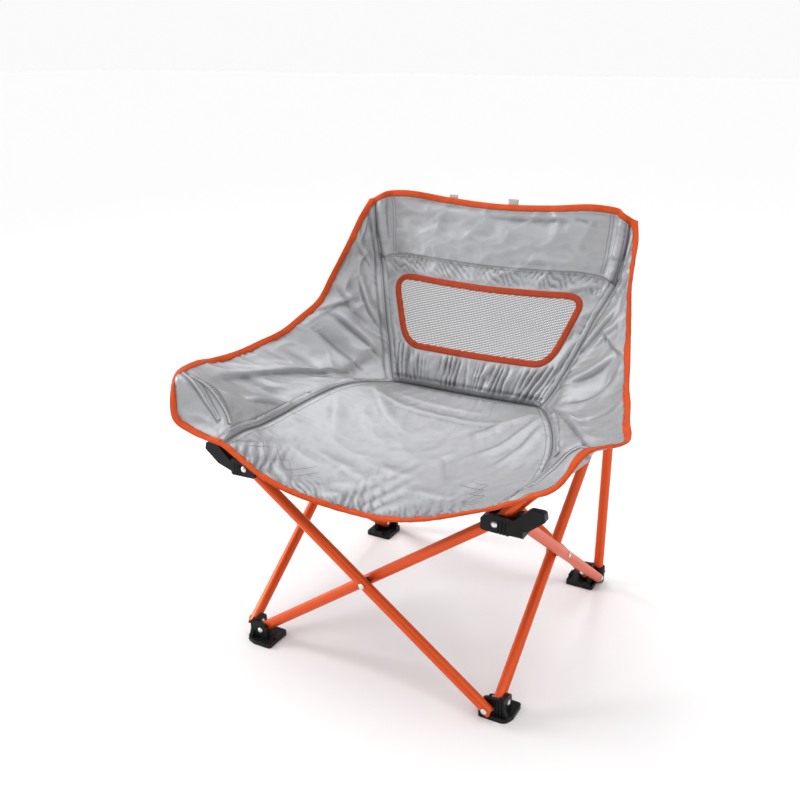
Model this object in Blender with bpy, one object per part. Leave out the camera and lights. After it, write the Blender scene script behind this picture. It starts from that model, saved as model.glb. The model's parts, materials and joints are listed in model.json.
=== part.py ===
"""A low camp chair: four crossed pairs of tubes in a square, and a sling.

The front of the chair faces -Y, +X is to its right and the floor is Z = 0.
Each side is an X of two tubes. Every tube is pinned low in one corner's foot and
high in the next corner's hub, and the whole frame closes into a bundle. The two
back hubs are collars that slide up their uprights as it closes, and the two front
tubes run on past their hubs as posts that hold the corners of the sling.

Corners and sides are numbered round the square: 0 is the front right corner and
the front side, and each next one is turned by 90 degrees about Z. Corner parts
are drawn at the front right, round the point where the corner's two pins meet:
+X and -Y both lead outwards there.
"""
import math

import bmesh
import bpy
import numpy as np
from mathutils import Matrix, Vector

# ---- frame ------------------------------------------------------------------
PIVOT_HALF = 0.189        # half the distance between two foot pins
FOOT_PIN_Z = 0.020        # height of the foot pins
PIN_RISE = 0.276          # hub pins above foot pins, frame open
FOLD = math.radians(47)   # how far each tube turns from open to folded
UPRIGHT_TOP = 0.606       # top of the bare back uprights
POST_ANGLE = math.radians(47)
POST_LENGTH = 0.147       # front tubes beyond their hub pins
POST_BEND_R = 0.040
CAP_LIP = 0.0024          # cap above the end of its upright

# ---- tubes and pins ---------------------------------------------------------
TUBE_R = 0.008
TUBE_WALL = 0.0012
TUBE_GAP = 0.0024         # between the two tubes of an X
NOSE_EXTRA = 0.001        # a tube's rounded end is cut this far outside its radius
PIN_R = 0.0025
HEAD_R = 0.0045
HEAD_RISE = 0.0019
WASHER_R = 0.0062

# ---- clearances -------------------------------------------------------------
SEAT = 0.0003             # between pieces that touch
SLOT_CLEAR = 0.0004       # tube to the side of its slot
SLIDE_CLEAR = 0.0005      # upright to the bore that slides on it

# ---- mouldings --------------------------------------------------------------
HUB_WALL = 0.0042         # outer cheeks of a hub
WEB = 0.006               # cheeks next to a corner, on feet and hubs
PIN_ROOM = 0.0028         # between a tube's nose and the next wall, for a pin head
HUB_REACH = 0.019         # hub arm beyond its pin, towards the middle of the side
HUB_ABOVE = 0.0125
HUB_BELOW = 0.012
LUG_REACH = 0.067         # lug that the post leans over, out from the pin
LUG_WIDTH = 0.012
COLLAR_WALL = 0.0026
COLLAR_ABOVE = 0.018
COLLAR_BELOW = 0.014
SOLE_THICK = 0.007
SOLE_INNER = 0.0145       # sole beyond the pins, towards the middle
SOLE_TAIL = 0.024
SOLE_OUTER = 0.0325
EAR_R = 0.0115            # rounded top of a foot's ears
LIP_THICK = 0.003         # upturned lips at the two inner ends of a sole
LIP_RISE = 0.0055
GROOVE = 0.0013           # width and depth of the grooves that leave ribs at a corner
RIB_STEP = 0.0045         # from one groove to the next
RIM = 0.0012              # slope round the rims of collars and sockets
CUP_TOP = 0.030           # top of the socket that holds an upright
UPRIGHT_FOOT_Z = 0.005    # bottom of an upright in its socket
CUP_PIN_Z = 0.018

# ---- sling ------------------------------------------------------------------
CLOTH = 0.0012
SEAM_GAP = 0.0005         # cloth edge to its seam line, each side
BINDING_WIDTH = 0.011
BINDING_THICK = 0.0017
BINDING_GAP = 0.0010      # cloth to the inner edge of its binding
POCKET_WALL = 0.0013
BACK_POCKET_LOW = 0.527
WING_POCKET_START = 0.088  # from the hub pin, along the post
POCKET_SLACK = 0.0025      # from the tube's end to the pocket's closed end
CREST = 0.0130             # wing cloth above the middle of its post, square to it
SHOULDER_TURN = -42        # where the wing's seam meets the back pocket, degrees round it
LEAVE_TURN = -139          # where the seam leaves the pocket
WINDOW_SHARE = 0.80        # width of the window in the back panel
WINDOW_LOW = 0.396
WINDOW_HIGH = 0.497

# The sling's pattern was cut for this frame, and stretches with any other.
PATTERN_HALF = 0.2099
PATTERN_HUB_Z = 0.296
PATTERN_TOP_Z = 0.606
PATTERN_POST = 0.147

ROUND = 16                 # sides of a tube
PIN_SIDES = 8

# ---- sizes that follow ------------------------------------------------------
OPEN_ANGLE = math.atan2(PIN_RISE, 2 * PIVOT_HALF)
HUB_PIN_Z = FOOT_PIN_Z + PIN_RISE
CROSSING_Z = FOOT_PIN_Z + PIN_RISE / 2
NOSE_R = TUBE_R + NOSE_EXTRA
OUTER = NOSE_R + PIN_ROOM + WEB + SLOT_CLEAR + TUBE_R
INNER = OUTER - 2 * TUBE_R - TUBE_GAP
SLOT_HALF = TUBE_R + SLOT_CLEAR
SWEEP_R = NOSE_R + SLOT_CLEAR
BORE_R = TUBE_R + SLIDE_CLEAR
COLLAR_R = BORE_R + COLLAR_WALL
UPRIGHT_OUT = SWEEP_R + SEAT + COLLAR_R
UPRIGHT_AT = PIVOT_HALF + UPRIGHT_OUT
HOLE_R = PIN_R + SEAT
POCKET_R = TUBE_R + SEAT + POCKET_WALL
POCKET_REACH = POCKET_R + CLOTH / 2 + SEAT
BACK_POCKET_HIGH = UPRIGHT_TOP + CAP_LIP + SEAT + POCKET_WALL

CORNERS = ("front_right", "back_right", "back_left", "front_left")
SIDES = ("front", "right", "back", "left")


# ---- helpers ----------------------------------------------------------------
def clear_scene():
    for item in list(bpy.data.objects):
        bpy.data.objects.remove(item, do_unlink=True)


def material(name, colour, roughness, metallic=0.0):
    finish = bpy.data.materials.new(name)
    finish.use_nodes = True
    shader = finish.node_tree.nodes["Principled BSDF"]
    shader.inputs["Base Color"].default_value = (*colour, 1.0)
    shader.inputs["Roughness"].default_value = roughness
    shader.inputs["Metallic"].default_value = metallic
    return finish


def add_object(name, mesh, finish=None, smooth_angle=35):
    """Link a mesh as an object, with its finish and its round faces smooth."""
    item = bpy.data.objects.new(name, mesh)
    bpy.context.scene.collection.objects.link(item)
    if finish and not mesh.materials:
        mesh.materials.append(finish)
    mesh.shade_smooth()
    mesh.set_sharp_from_angle(angle=math.radians(smooth_angle))
    return item


def mesh_from(bm, name="shape"):
    """Close up a bmesh, turn its faces outwards and store it as a mesh."""
    bmesh.ops.remove_doubles(bm, verts=bm.verts, dist=0.000002)
    bmesh.ops.recalc_face_normals(bm, faces=bm.faces)
    if bm.calc_volume(signed=True) < 0:
        bmesh.ops.reverse_faces(bm, faces=bm.faces)
    mesh = bpy.data.meshes.new(name)
    bm.to_mesh(mesh)
    bm.free()
    return mesh


def polar(radius, angle):
    return (radius * math.cos(angle), radius * math.sin(angle))


def rounded(corners, steps=4):
    """Outline from (x, y, fillet radius) corners, each one rounded by its arc."""
    outline = []
    count = len(corners)
    for index, (x, y, radius) in enumerate(corners):
        here = Vector((x, y))
        before = Vector(corners[index - 1][:2]) - here
        after = Vector(corners[(index + 1) % count][:2]) - here
        if radius <= 0:
            outline.append((x, y))
            continue
        half = before.angle(after) / 2
        reach = min(radius / math.tan(half), before.length * 0.49, after.length * 0.49)
        start = here + before.normalized() * reach
        end = here + after.normalized() * reach
        for step in range(steps + 1):
            share = step / steps
            curve = start.lerp(here, share).lerp(here.lerp(end, share), share)
            outline.append(tuple(curve))
    return outline


def prism(outline, low, high, axis):
    """A straight block over an outline of (outward, up) or (x, y) points.

    Along "y" the block lies in the front side, along "x" in the right side,
    where outward is -Y, and along "z" it stands up.
    """
    place = {
        "y": lambda a, b, t: (a, -t, b),
        "x": lambda a, b, t: (t, -a, b),
        "z": lambda a, b, t: (a, b, t),
    }[axis]
    bm = bmesh.new()
    base = bm.faces.new([bm.verts.new(place(a, b, low)) for a, b in outline])
    top = bmesh.ops.extrude_face_region(bm, geom=[base])["geom"]
    raised = [item for item in top if isinstance(item, bmesh.types.BMVert)]
    rise = Vector(place(0, 0, high)) - Vector(place(0, 0, low))
    bmesh.ops.translate(bm, verts=raised, vec=rise)
    return mesh_from(bm)


def turned(profile, steps=PIN_SIDES, ring=False):
    """A body turned about Z from (radius, height) points."""
    bm = bmesh.new()
    verts = [bm.verts.new((radius, 0, height)) for radius, height in profile]
    pairs = list(zip(verts, verts[1:]))
    if ring:
        pairs.append((verts[-1], verts[0]))
    edges = [bm.edges.new(pair) for pair in pairs]
    bmesh.ops.spin(bm, geom=verts + edges, cent=(0, 0, 0), axis=(0, 0, 1),
                   angle=math.tau, steps=steps, use_merge=True)
    return mesh_from(bm)


def cylinder(radius, low, high, axis, centre=(0, 0), sides=PIN_SIDES):
    """A round bar along an axis, at a point of the plane square to it."""
    ring = [polar(radius, math.tau * step / sides) for step in range(sides)]
    return prism([(centre[0] + a, centre[1] + b) for a, b in ring], low, high, axis)


def tube_wall(bm, path, radius):
    """One skin of a tube, and the edges round its two ends.

    The path is stations of (outward, up, direction) in the XZ plane, from pivot
    to pivot. Each end is rounded about its pivot, as seen square to that plane.
    """
    frames = [Matrix.Translation((a, 0, h)) @ Matrix.Rotation(math.pi / 2 - turn, 4, "Y")
              for a, h, turn in path]
    ring = bmesh.ops.create_circle(bm, segments=ROUND, radius=radius, matrix=frames[0])["verts"]
    edges = list({edge for vert in ring for edge in vert.link_edges})
    ends = [(frames[0], ring, edges)]
    for before, after in zip(frames, frames[1:]):
        grown = bmesh.ops.extrude_edge_only(bm, edges=edges)["geom"]
        ring = [item for item in grown if isinstance(item, bmesh.types.BMVert)]
        edges = [item for item in grown
                 if isinstance(item, bmesh.types.BMEdge) and set(item.verts) <= set(ring)]
        bmesh.ops.transform(bm, matrix=after @ before.inverted(), verts=ring)
    ends.append((frames[-1], ring, edges))
    for sign, (frame, ring, _) in zip((-1, 1), ends):
        for vert in ring:
            spot = frame.inverted() @ vert.co
            spot.z = sign * math.sqrt(NOSE_R ** 2 - spot.x ** 2)
            vert.co = frame @ spot
    return ends[0][2], ends[1][2]


def combine(base, others, operation):
    """Boolean one mesh with others, one after another, and bake the result."""
    body = add_object("body", base)
    tools = []
    for mesh in others:
        tool = add_object("tool", mesh)
        tools.append(tool)
        step = body.modifiers.new("step", "BOOLEAN")
        step.operation = operation
        step.solver = "EXACT"
        step.object = tool
    bpy.context.view_layer.update()
    graph = bpy.context.evaluated_depsgraph_get()
    result = bpy.data.meshes.new_from_object(body.evaluated_get(graph))
    for item in [body, *tools]:
        bpy.data.objects.remove(item)
    return result


def union(base, *others):
    return combine(base, others, "UNION")


def cut(base, *others):
    return combine(base, others, "DIFFERENCE")


def place_corner(item, corner, height):
    """Stand a corner part on its corner, turned to face outwards."""
    turn = Matrix.Rotation(corner * math.pi / 2, 4, "Z")
    spot = turn @ Vector((PIVOT_HALF, -PIVOT_HALF, height))
    item.matrix_world = Matrix.Translation(spot) @ turn


# ---- tubes ------------------------------------------------------------------
def tube_body(path, holes):
    """A hollow tube with rounded open ends and a pin hole at each pivot."""
    bm = bmesh.new()
    outer = tube_wall(bm, path, TUBE_R)
    inner = tube_wall(bm, path, TUBE_R - TUBE_WALL)
    for outside, inside in zip(outer, inner):
        bmesh.ops.bridge_loops(bm, edges=outside + inside)
    pins = [cylinder(HOLE_R, -2 * TUBE_R, 2 * TUBE_R, "y", hole) for hole in holes]
    return cut(mesh_from(bm), *pins)


def tube_mesh(lean, post, origin):
    """One tube of an X, drawn about the crossing and moved to its own pin.

    lean is +1 where the tube rises towards +X seen from the front, -1 the
    other way; origin is the station of its own pin: -1 foot, 0 crossing.
    """
    foot = Vector((-PIVOT_HALF, -PIN_RISE / 2))
    hub = -foot
    path = [(foot.x, foot.y, OPEN_ANGLE)]
    if post:
        path += post_bend(hub)
        tip = hub + Vector(polar(POST_LENGTH - NOSE_R, POST_ANGLE))
        path.append((tip.x, tip.y, POST_ANGLE))
    else:
        path.append((hub.x, hub.y, OPEN_ANGLE))
    mesh = tube_body(path, [tuple(foot), (0, 0), tuple(hub)])
    shift = Vector((0, 0, 0))
    if origin < 0:
        shift = Vector((-foot.x, 0, -foot.y))
    mesh.transform(Matrix.Translation(shift))
    if lean < 0:
        mesh.transform(Matrix.Rotation(math.pi, 4, "Z"))
    return mesh


def post_bend(corner):
    """Stations of the bend by which a front tube turns up into its post."""
    sweep = POST_ANGLE - OPEN_ANGLE
    reach = POST_BEND_R * math.tan(sweep / 2)
    centre = corner - Vector(polar(reach, OPEN_ANGLE))
    centre += Vector(polar(POST_BEND_R, OPEN_ANGLE + math.pi / 2))
    stations = []
    for step in range(4):
        turn = OPEN_ANGLE + sweep * step / 3
        spot = centre + Vector(polar(POST_BEND_R, turn - math.pi / 2))
        stations.append((spot.x, spot.y, turn))
    return stations


def build_tubes(finish):
    """The eight tubes. The first one named on each side carries the other."""
    leading = {"front": "inner", "right": "inner", "back": "outer", "left": "outer"}
    meshes = {}
    for side, name in enumerate(SIDES):
        for layer, out, lean in (("inner", INNER, 1), ("outer", OUTER, -1)):
            post = name == "front"
            origin = -1 if leading[name] == layer else 0
            key = (lean, post, origin)
            if key not in meshes:
                meshes[key] = tube_mesh(*key)
            item = add_object(f"{name}_{layer}_tube", meshes[key], finish)
            across = lean * origin * PIVOT_HALF
            height = CROSSING_Z + origin * PIN_RISE / 2
            turn = Matrix.Rotation(side * math.pi / 2, 4, "Z")
            spot = turn @ Vector((across, -(PIVOT_HALF + out), height))
            item.matrix_world = Matrix.Translation(spot) @ turn


def build_uprights(finish, cap_finish):
    """Two straight uprights, pinned in the back feet and capped on top."""
    length = UPRIGHT_TOP - UPRIGHT_FOOT_Z
    body = cylinder(TUBE_R, 0, length, "z", sides=ROUND)
    bore = cylinder(TUBE_R - TUBE_WALL, -TUBE_R, length + TUBE_R, "z", sides=ROUND)
    hole = cylinder(HOLE_R, 0, 2 * TUBE_R, "x", (0, CUP_PIN_Z - UPRIGHT_FOOT_Z))
    hole.transform(Matrix.Rotation(-math.pi / 4, 4, "Z"))
    tube = cut(body, bore, hole)
    plug_r = TUBE_R - TUBE_WALL - SEAT
    cap = turned([(0, -TUBE_R), (plug_r, -TUBE_R), (plug_r, SEAT), (TUBE_R, SEAT),
                  (TUBE_R, CAP_LIP * 0.5), (TUBE_R * 0.7, CAP_LIP), (0, CAP_LIP)], ROUND)
    for corner in (1, 2):
        side = CORNERS[corner].split("_")[1]
        turn = Matrix.Rotation(corner * math.pi / 2, 4, "Z")
        foot = turn @ Vector((UPRIGHT_AT, -UPRIGHT_AT, UPRIGHT_FOOT_Z))
        upright = add_object(f"{side}_upright", tube, finish)
        upright.matrix_world = Matrix.Translation(foot) @ turn
        top = add_object(f"{side}_upright_cap", cap, cap_finish)
        top.matrix_world = Matrix.Translation((foot.x, foot.y, UPRIGHT_TOP)) @ turn


# ---- corner mouldings -------------------------------------------------------
def fan(first, last, low, high, axis):
    """The space that a tube sweeps as it turns about its pin."""
    reach = HUB_REACH * 4
    arc_steps = 10
    out = [polar(SWEEP_R, last + math.pi / 2 + (math.tau + first - last - math.pi)
                 * step / arc_steps) for step in range(arc_steps + 1)]
    right = Vector(polar(SWEEP_R, first - math.pi / 2)) + Vector(polar(reach, first))
    left = Vector(polar(SWEEP_R, last + math.pi / 2)) + Vector(polar(reach, last))
    middle = Vector(polar(reach * 1.3, (first + last) / 2))
    outline = out + [tuple(right), tuple(middle), tuple(left)]
    return prism(outline, low, high, axis)


def collar_body(low, high):
    """A collar beside a corner, with sloping rims, before it is bored."""
    body = turned([(0, low), (COLLAR_R - RIM, low), (COLLAR_R, low + RIM),
                   (COLLAR_R, high - RIM), (COLLAR_R - RIM, high), (0, high)], 24)
    body.transform(Matrix.Translation((UPRIGHT_OUT, -UPRIGHT_OUT, 0)))
    return body


def grooves(first, face, low, high, axis):
    """Cutters for the upright grooves in a face, from the first one outward."""
    outlines = []
    for index in range(3):
        left = first + index * RIB_STEP
        outlines.append([(left, low), (left + GROOVE, low), (left + GROOVE, high), (left, high)])
    return [prism(outline, face - GROOVE, face + WEB, axis) for outline in outlines]


def arm_outline():
    """Cheek of a hub arm, outward and up from its pin."""
    return rounded([
        (-HUB_REACH, -HUB_BELOW * 0.9, 0.004),
        (-HUB_REACH, HUB_ABOVE * 0.55, 0.005),
        (-HUB_REACH * 0.45, HUB_ABOVE, 0.006),
        (INNER + SLOT_HALF + WEB, HUB_ABOVE, 0.002),
        (INNER + SLOT_HALF + WEB, -HUB_BELOW, 0.004),
    ])


def lug_outline():
    """Pointed lug under the post, which leans over it when the frame is open."""
    under = SWEEP_R / math.cos(POST_ANGLE)
    slope = math.tan(POST_ANGLE)
    low = 0.012
    tip = LUG_REACH
    return rounded([
        (low, low * slope - under - 0.001, 0),
        (low, -HUB_BELOW * 0.85, 0.002),
        (tip * 0.68, 0.001, 0.006),
        (tip, 0.019, 0.002),
        (tip * 0.97, 0.030, 0.004),
        (tip * 0.68, 0.030, 0.010),
    ])


def hub_mesh(post_slot=None, collar=False):
    """A corner hub: an inner slot in the front arm, an outer slot in the side arm.

    post_slot is "y" or "x" where that arm's tube runs on as a post; a collar
    slides on the upright instead.
    """
    front = (INNER - SLOT_HALF, INNER + SLOT_HALF)
    side = (OUTER - SLOT_HALF, OUTER + SLOT_HALF)
    front_block = (front[0] - HUB_WALL, front[1] + WEB)
    side_block = (side[0] - WEB, side[1] + HUB_WALL)
    body = union(prism(arm_outline(), *front_block, "y"), prism(arm_outline(), *side_block, "x"))
    if collar:
        body = union(body, collar_body(-COLLAR_BELOW, COLLAR_ABOVE))
    if post_slot == "y":
        body = union(body, prism(lug_outline(), front_block[1] - LUG_WIDTH, front_block[1], "y"))
    if post_slot == "x":
        body = union(body, prism(lug_outline(), side_block[1] - LUG_WIDTH, side_block[1], "x"))
    low, high = OPEN_ANGLE - math.pi, OPEN_ANGLE + FOLD - math.pi
    tools = [fan(low, high, *front, "y"), fan(low, high, *side, "x")]
    if post_slot:
        span = front if post_slot == "y" else side
        tools.append(fan(POST_ANGLE, POST_ANGLE + FOLD, *span, post_slot))
    if collar:
        tools.append(cylinder(BORE_R, -2 * COLLAR_BELOW, 2 * COLLAR_ABOVE, "z",
                              (UPRIGHT_OUT, -UPRIGHT_OUT), 24))
    tools.append(cylinder(HOLE_R, front_block[0] - HUB_WALL, front_block[1] + WEB, "y"))
    tools.append(cylinder(HOLE_R, blind_pin_start() - SEAT, side_block[1] + WEB, "x"))
    if not collar:
        tools += grooves(HEAD_R + GROOVE, front_block[1], -2 * HUB_BELOW, HUB_ABOVE / 2, "y")
        tools += grooves(HEAD_R + GROOVE, side_block[1], -2 * HUB_BELOW, HUB_ABOVE / 2, "x")
    return cut(body, *tools)


def hub_kind(corner):
    return "slider" if corner in (1, 2) else "hub"


def blind_pin_start():
    """Where a side arm's pin ends, clear of the tube in the front arm."""
    return SWEEP_R + PIN_ROOM


def foot_mesh(cup=False):
    """A foot: sole, two ears with a tube outside one and inside the other."""
    face = OUTER - SLOT_HALF
    wall = (face - WEB, face)
    floor = -FOOT_PIN_Z
    sole = rounded([
        (-SOLE_INNER, SOLE_TAIL, 0.005),
        (-SOLE_INNER, -(face + WEB * 0.75), 0.005),
        (SOLE_OUTER - 0.006, -(face + WEB * 0.75), 0.012),
        (SOLE_OUTER, -WEB, 0.010),
        (SOLE_OUTER, SOLE_TAIL, 0.005),
    ])
    ear = rounded([
        (-EAR_R, floor + SOLE_THICK / 2, 0),
        (-EAR_R, EAR_R * 0.9, EAR_R),
        (EAR_R * 0.7, EAR_R, 0.004),
        (face, EAR_R * 1.3, 0.003),
        (face, floor + SOLE_THICK / 2, 0),
    ], 5)
    side_wall = (INNER + SLOT_HALF, INNER + SLOT_HALF + WEB)
    deck = floor + SOLE_THICK / 2
    lip_top = floor + SOLE_THICK + LIP_RISE
    lip = rounded([(0, deck, 0), (0, lip_top, LIP_THICK * 0.4),
                   (LIP_THICK, lip_top - LIP_THICK / 2, LIP_THICK * 0.4),
                   (LIP_THICK * 1.6, deck, 0)], 3)
    toe = [(a - SOLE_INNER, b) for a, b in lip]
    heel = [(a - SOLE_TAIL, b) for a, b in lip]
    gusset = rounded([(face - WEB, deck, 0), (face - WEB, EAR_R * 1.1, 0),
                      (face + WEB * 0.6, 0, 0.010), (SOLE_OUTER - LIP_THICK, deck, 0)], 4)
    body = prism(sole, floor, floor + SOLE_THICK, "z")
    body = union(body, prism(ear, *wall, "y"), prism(ear, *side_wall, "x"))
    body = union(body, prism(toe, face - 2 * WEB, face, "y"), prism(heel, 0, INNER + SLOT_HALF, "x"))
    body = union(body, prism(gusset, *wall, "y"))
    tools = [cylinder(HOLE_R, 0, 2 * OUTER, "y"), cylinder(HOLE_R, 0, 2 * OUTER, "x")]
    tools += grooves(HEAD_R + 4 * GROOVE, face, deck + SOLE_THICK / 2 + GROOVE, EAR_R * 2, "y")
    if cup:
        spot = (UPRIGHT_OUT, -UPRIGHT_OUT)
        body = union(body, collar_body(floor + SOLE_THICK / 3, CUP_TOP - FOOT_PIN_Z))
        tools.append(cylinder(TUBE_R + SEAT, UPRIGHT_FOOT_Z - SEAT - FOOT_PIN_Z,
                              2 * CUP_TOP, "z", spot, 24))
        hole = cylinder(HOLE_R, 0, 2 * COLLAR_R, "x", (0, CUP_PIN_Z - FOOT_PIN_Z))
        hole.transform(Matrix.Rotation(-math.pi / 4, 4, "Z"))
        hole.transform(Matrix.Translation((UPRIGHT_OUT, -UPRIGHT_OUT, 0)))
        tools.append(hole)
    return cut(body, *tools)


def build_mouldings(finish):
    front_foot = foot_mesh()
    back_foot = foot_mesh(cup=True)
    slider = hub_mesh(collar=True)
    hubs = {0: hub_mesh("y"), 1: slider, 2: slider, 3: hub_mesh("x")}
    for corner, name in enumerate(CORNERS):
        back = corner in (1, 2)
        foot = add_object(f"{name}_foot", back_foot if back else front_foot, finish)
        place_corner(foot, corner, FOOT_PIN_Z)
        hub = add_object(f"{name}_{hub_kind(corner)}", hubs[corner], finish)
        place_corner(hub, corner, HUB_PIN_Z)


# ---- pins and washers -------------------------------------------------------
def pin_mesh(grip, far_head=True):
    """A rivet of a given grip along +Z, its first head's seat at zero."""
    head = [(0, -HEAD_RISE), (HEAD_R * 0.65, -HEAD_RISE * 0.75), (HEAD_R, 0)]
    profile = head + [(PIN_R, 0), (PIN_R, grip)]
    if far_head:
        profile += [(radius, grip - height) for radius, height in reversed(head)]
    else:
        profile += [(0, grip)]
    return turned(profile)


def put_pin(name, mesh, finish, corner, axis, start, height):
    """Pin pointing inwards along a corner's front (y) or side (x) axis."""
    item = add_object(name, mesh, finish)
    if axis == "y":
        local = Matrix.Translation((0, -start, 0)) @ Matrix.Rotation(-math.pi / 2, 4, "X")
    else:
        local = Matrix.Translation((start, 0, 0)) @ Matrix.Rotation(-math.pi / 2, 4, "Y")
    turn = Matrix.Rotation(corner * math.pi / 2, 4, "Z")
    spot = turn @ Vector((PIVOT_HALF, -PIVOT_HALF, height))
    item.matrix_world = Matrix.Translation(spot) @ turn @ local


def build_pins(finish, washer_finish):
    """Two pins at each foot and hub, one at each crossing, one in each socket."""
    face = OUTER - SLOT_HALF
    outside = OUTER + TUBE_R + SEAT
    foot_front = pin_mesh(outside - (face - WEB - SEAT))
    foot_side = pin_mesh(INNER + SLOT_HALF + WEB + SEAT - (INNER - TUBE_R - SEAT))
    hub_front = pin_mesh(2 * SLOT_HALF + HUB_WALL + WEB + 2 * SEAT)
    hub_side_start = OUTER + SLOT_HALF + HUB_WALL + SEAT
    hub_side = pin_mesh(hub_side_start - blind_pin_start(), far_head=False)
    inner_face = INNER + SLOT_HALF + WEB + SEAT
    for corner, name in enumerate(CORNERS):
        this, other = SIDES[corner], SIDES[(corner + 1) % 4]
        hub = f"{name}_{hub_kind(corner)}"
        put_pin(f"{name}_foot_{this}_pin", foot_front, finish, corner, "y", outside, FOOT_PIN_Z)
        put_pin(f"{name}_foot_{other}_pin", foot_side, finish, corner, "x", inner_face,
                FOOT_PIN_Z)
        put_pin(f"{hub}_{this}_pin", hub_front, finish, corner, "y", inner_face, HUB_PIN_Z)
        put_pin(f"{hub}_{other}_pin", hub_side, finish, corner, "x", hub_side_start, HUB_PIN_Z)
    crossing = pin_mesh(OUTER - INNER + 2 * (TUBE_R + SEAT))
    thick = TUBE_GAP - 2 * SEAT
    washer = turned([(HOLE_R, 0), (WASHER_R, 0), (WASHER_R, thick), (HOLE_R, thick)],
                    ROUND, ring=True)
    for side, name in enumerate(SIDES):
        turn = Matrix.Rotation(side * math.pi / 2, 4, "Z")
        for item, finish_here, out, label in (
                (crossing, finish, OUTER + TUBE_R + SEAT, "crossing_pin"),
                (washer, washer_finish, (OUTER + INNER + thick) / 2, "spacer")):
            spot = turn @ Vector((0, -(PIVOT_HALF + out), CROSSING_Z))
            piece = add_object(f"{name}_{label}", item, finish_here)
            piece.matrix_world = (Matrix.Translation(spot) @ turn
                                  @ Matrix.Rotation(-math.pi / 2, 4, "X"))
    socket = pin_mesh(COLLAR_WALL + TUBE_WALL + 3 * SEAT, far_head=False)
    for corner in (1, 2):
        item = add_object(f"{CORNERS[corner]}_socket_pin", socket, finish)
        turn = Matrix.Rotation(corner * math.pi / 2 - math.pi / 4, 4, "Z")
        reach = UPRIGHT_AT * math.sqrt(2) + COLLAR_R + SEAT
        spot = turn @ Vector((reach, 0, CUP_PIN_Z))
        item.matrix_world = (Matrix.Translation(spot) @ turn
                             @ Matrix.Rotation(-math.pi / 2, 4, "Y"))


# ---- sling ------------------------------------------------------------------
def fitted(point):
    """A point of the sling's pattern, stretched to this frame."""
    x, y, z = point
    wide = UPRIGHT_AT / PATTERN_HALF
    tall = (UPRIGHT_TOP - HUB_PIN_Z) / (PATTERN_TOP_Z - PATTERN_HUB_Z)
    return np.array((x * wide, y * wide, HUB_PIN_Z + (z - PATTERN_HUB_Z) * tall))


def along(points, share):
    """A point on the smooth curve through points, share 0 to 1 by their count."""
    last = len(points) - 1
    spot = min(max(share, 0.0), 1.0) * last
    index = min(int(spot), last - 1)
    t = spot - index
    p1, p2 = points[index], points[index + 1]
    p0 = points[index - 1] if index > 0 else 2 * p1 - p2
    p3 = points[index + 2] if index + 2 <= last else 2 * p2 - p1
    return 0.5 * (2 * p1 + (p2 - p0) * t + (2 * p0 - 5 * p1 + 4 * p2 - p3) * t ** 2
                  + (3 * p1 - p0 - 3 * p2 + p3) * t ** 3)


def cross(rows, down, across):
    """A point of the smooth surface through rows of points."""
    return along([along(row, across) for row in rows], down)


def stretch(line, count, start, end):
    """Even points on a line between two distances, end counted back if negative."""
    runs = np.linalg.norm(np.diff(line, axis=0), axis=1)
    reach = np.concatenate(([0], np.cumsum(runs)))
    wanted = np.linspace(start, end if end > 0 else reach[-1] + end, count)
    return np.column_stack([np.interp(wanted, reach, line[:, axis]) for axis in range(3)])


def patch(lines, down_count, across_count, down_span, across_span):
    """A grid over lines across a surface, cut to a span each way."""
    grid = np.array([stretch(line, across_count, *across_span) for line in lines])
    columns = [stretch(column, down_count, *down_span) for column in grid.swapaxes(0, 1)]
    return np.array(columns).swapaxes(0, 1)


def fine_lines(rows):
    """Close lines across the smooth surface through rows."""
    shares = np.linspace(0, 1, 33)
    return [np.array([cross(rows, down, across) for across in shares]) for down in shares]


def sheet(name, grid, thick, finish, skip=None):
    """A closed sheet of cloth over a grid of points, less the cells in skip."""
    bm = bmesh.new()
    verts = [[bm.verts.new(point) for point in row] for row in grid]
    for i, (row, below) in enumerate(zip(verts, verts[1:])):
        for j in range(len(row) - 1):
            if not (skip and skip(i, j)):
                bm.faces.new((row[j], row[j + 1], below[j + 1], below[j]))
    loose = [vert for vert in bm.verts if not vert.link_faces]
    bmesh.ops.delete(bm, geom=loose, context="VERTS")
    mesh = bpy.data.meshes.new(name)
    bm.to_mesh(mesh)
    bm.free()
    item = add_object(name, mesh, finish, 60)
    wall = item.modifiers.new("cloth", "SOLIDIFY")
    wall.thickness = thick
    wall.offset = 0
    return item


def whole_row(points):
    """A row across the chair from its right half, which starts at the middle."""
    left = [(-x, y, z) for x, y, z in reversed(points[1:])]
    return [fitted(point) for point in left + list(points)]


def dished_rows(seam, middle):
    """Rows that dip from the seam on each side to the middle."""
    rows = []
    for (x, y, z), (mid_y, mid_z) in zip(seam, middle):
        quarter = (x / 2, mid_y + (y - mid_y) / 4, mid_z + (z - mid_z) / 4)
        rows.append(whole_row([(0, mid_y, mid_z), quarter, (x, y, z)]))
    return rows


def seat_rows():
    """Rows of the seat, from the crease behind to the front edge."""
    seam = [(0.130, 0.116, 0.342), (0.145, 0.083, 0.345), (0.166, 0.035, 0.349),
            (0.194, -0.020, 0.343), (0.206, -0.059, 0.336), (0.213, -0.102, 0.331),
            (0.217, -0.148, 0.330), (0.216, -0.190, 0.338)]
    middle = [(0.118, 0.332), (0.083, 0.318), (0.035, 0.307), (-0.020, 0.299),
              (-0.059, 0.295), (-0.102, 0.291), (-0.148, 0.287), (-0.190, 0.283)]
    front = whole_row([(0, -0.241, 0.278), (0.104, -0.268, 0.306), (0.206, -0.254, 0.341)])
    return dished_rows(seam, middle) + [front]


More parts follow.
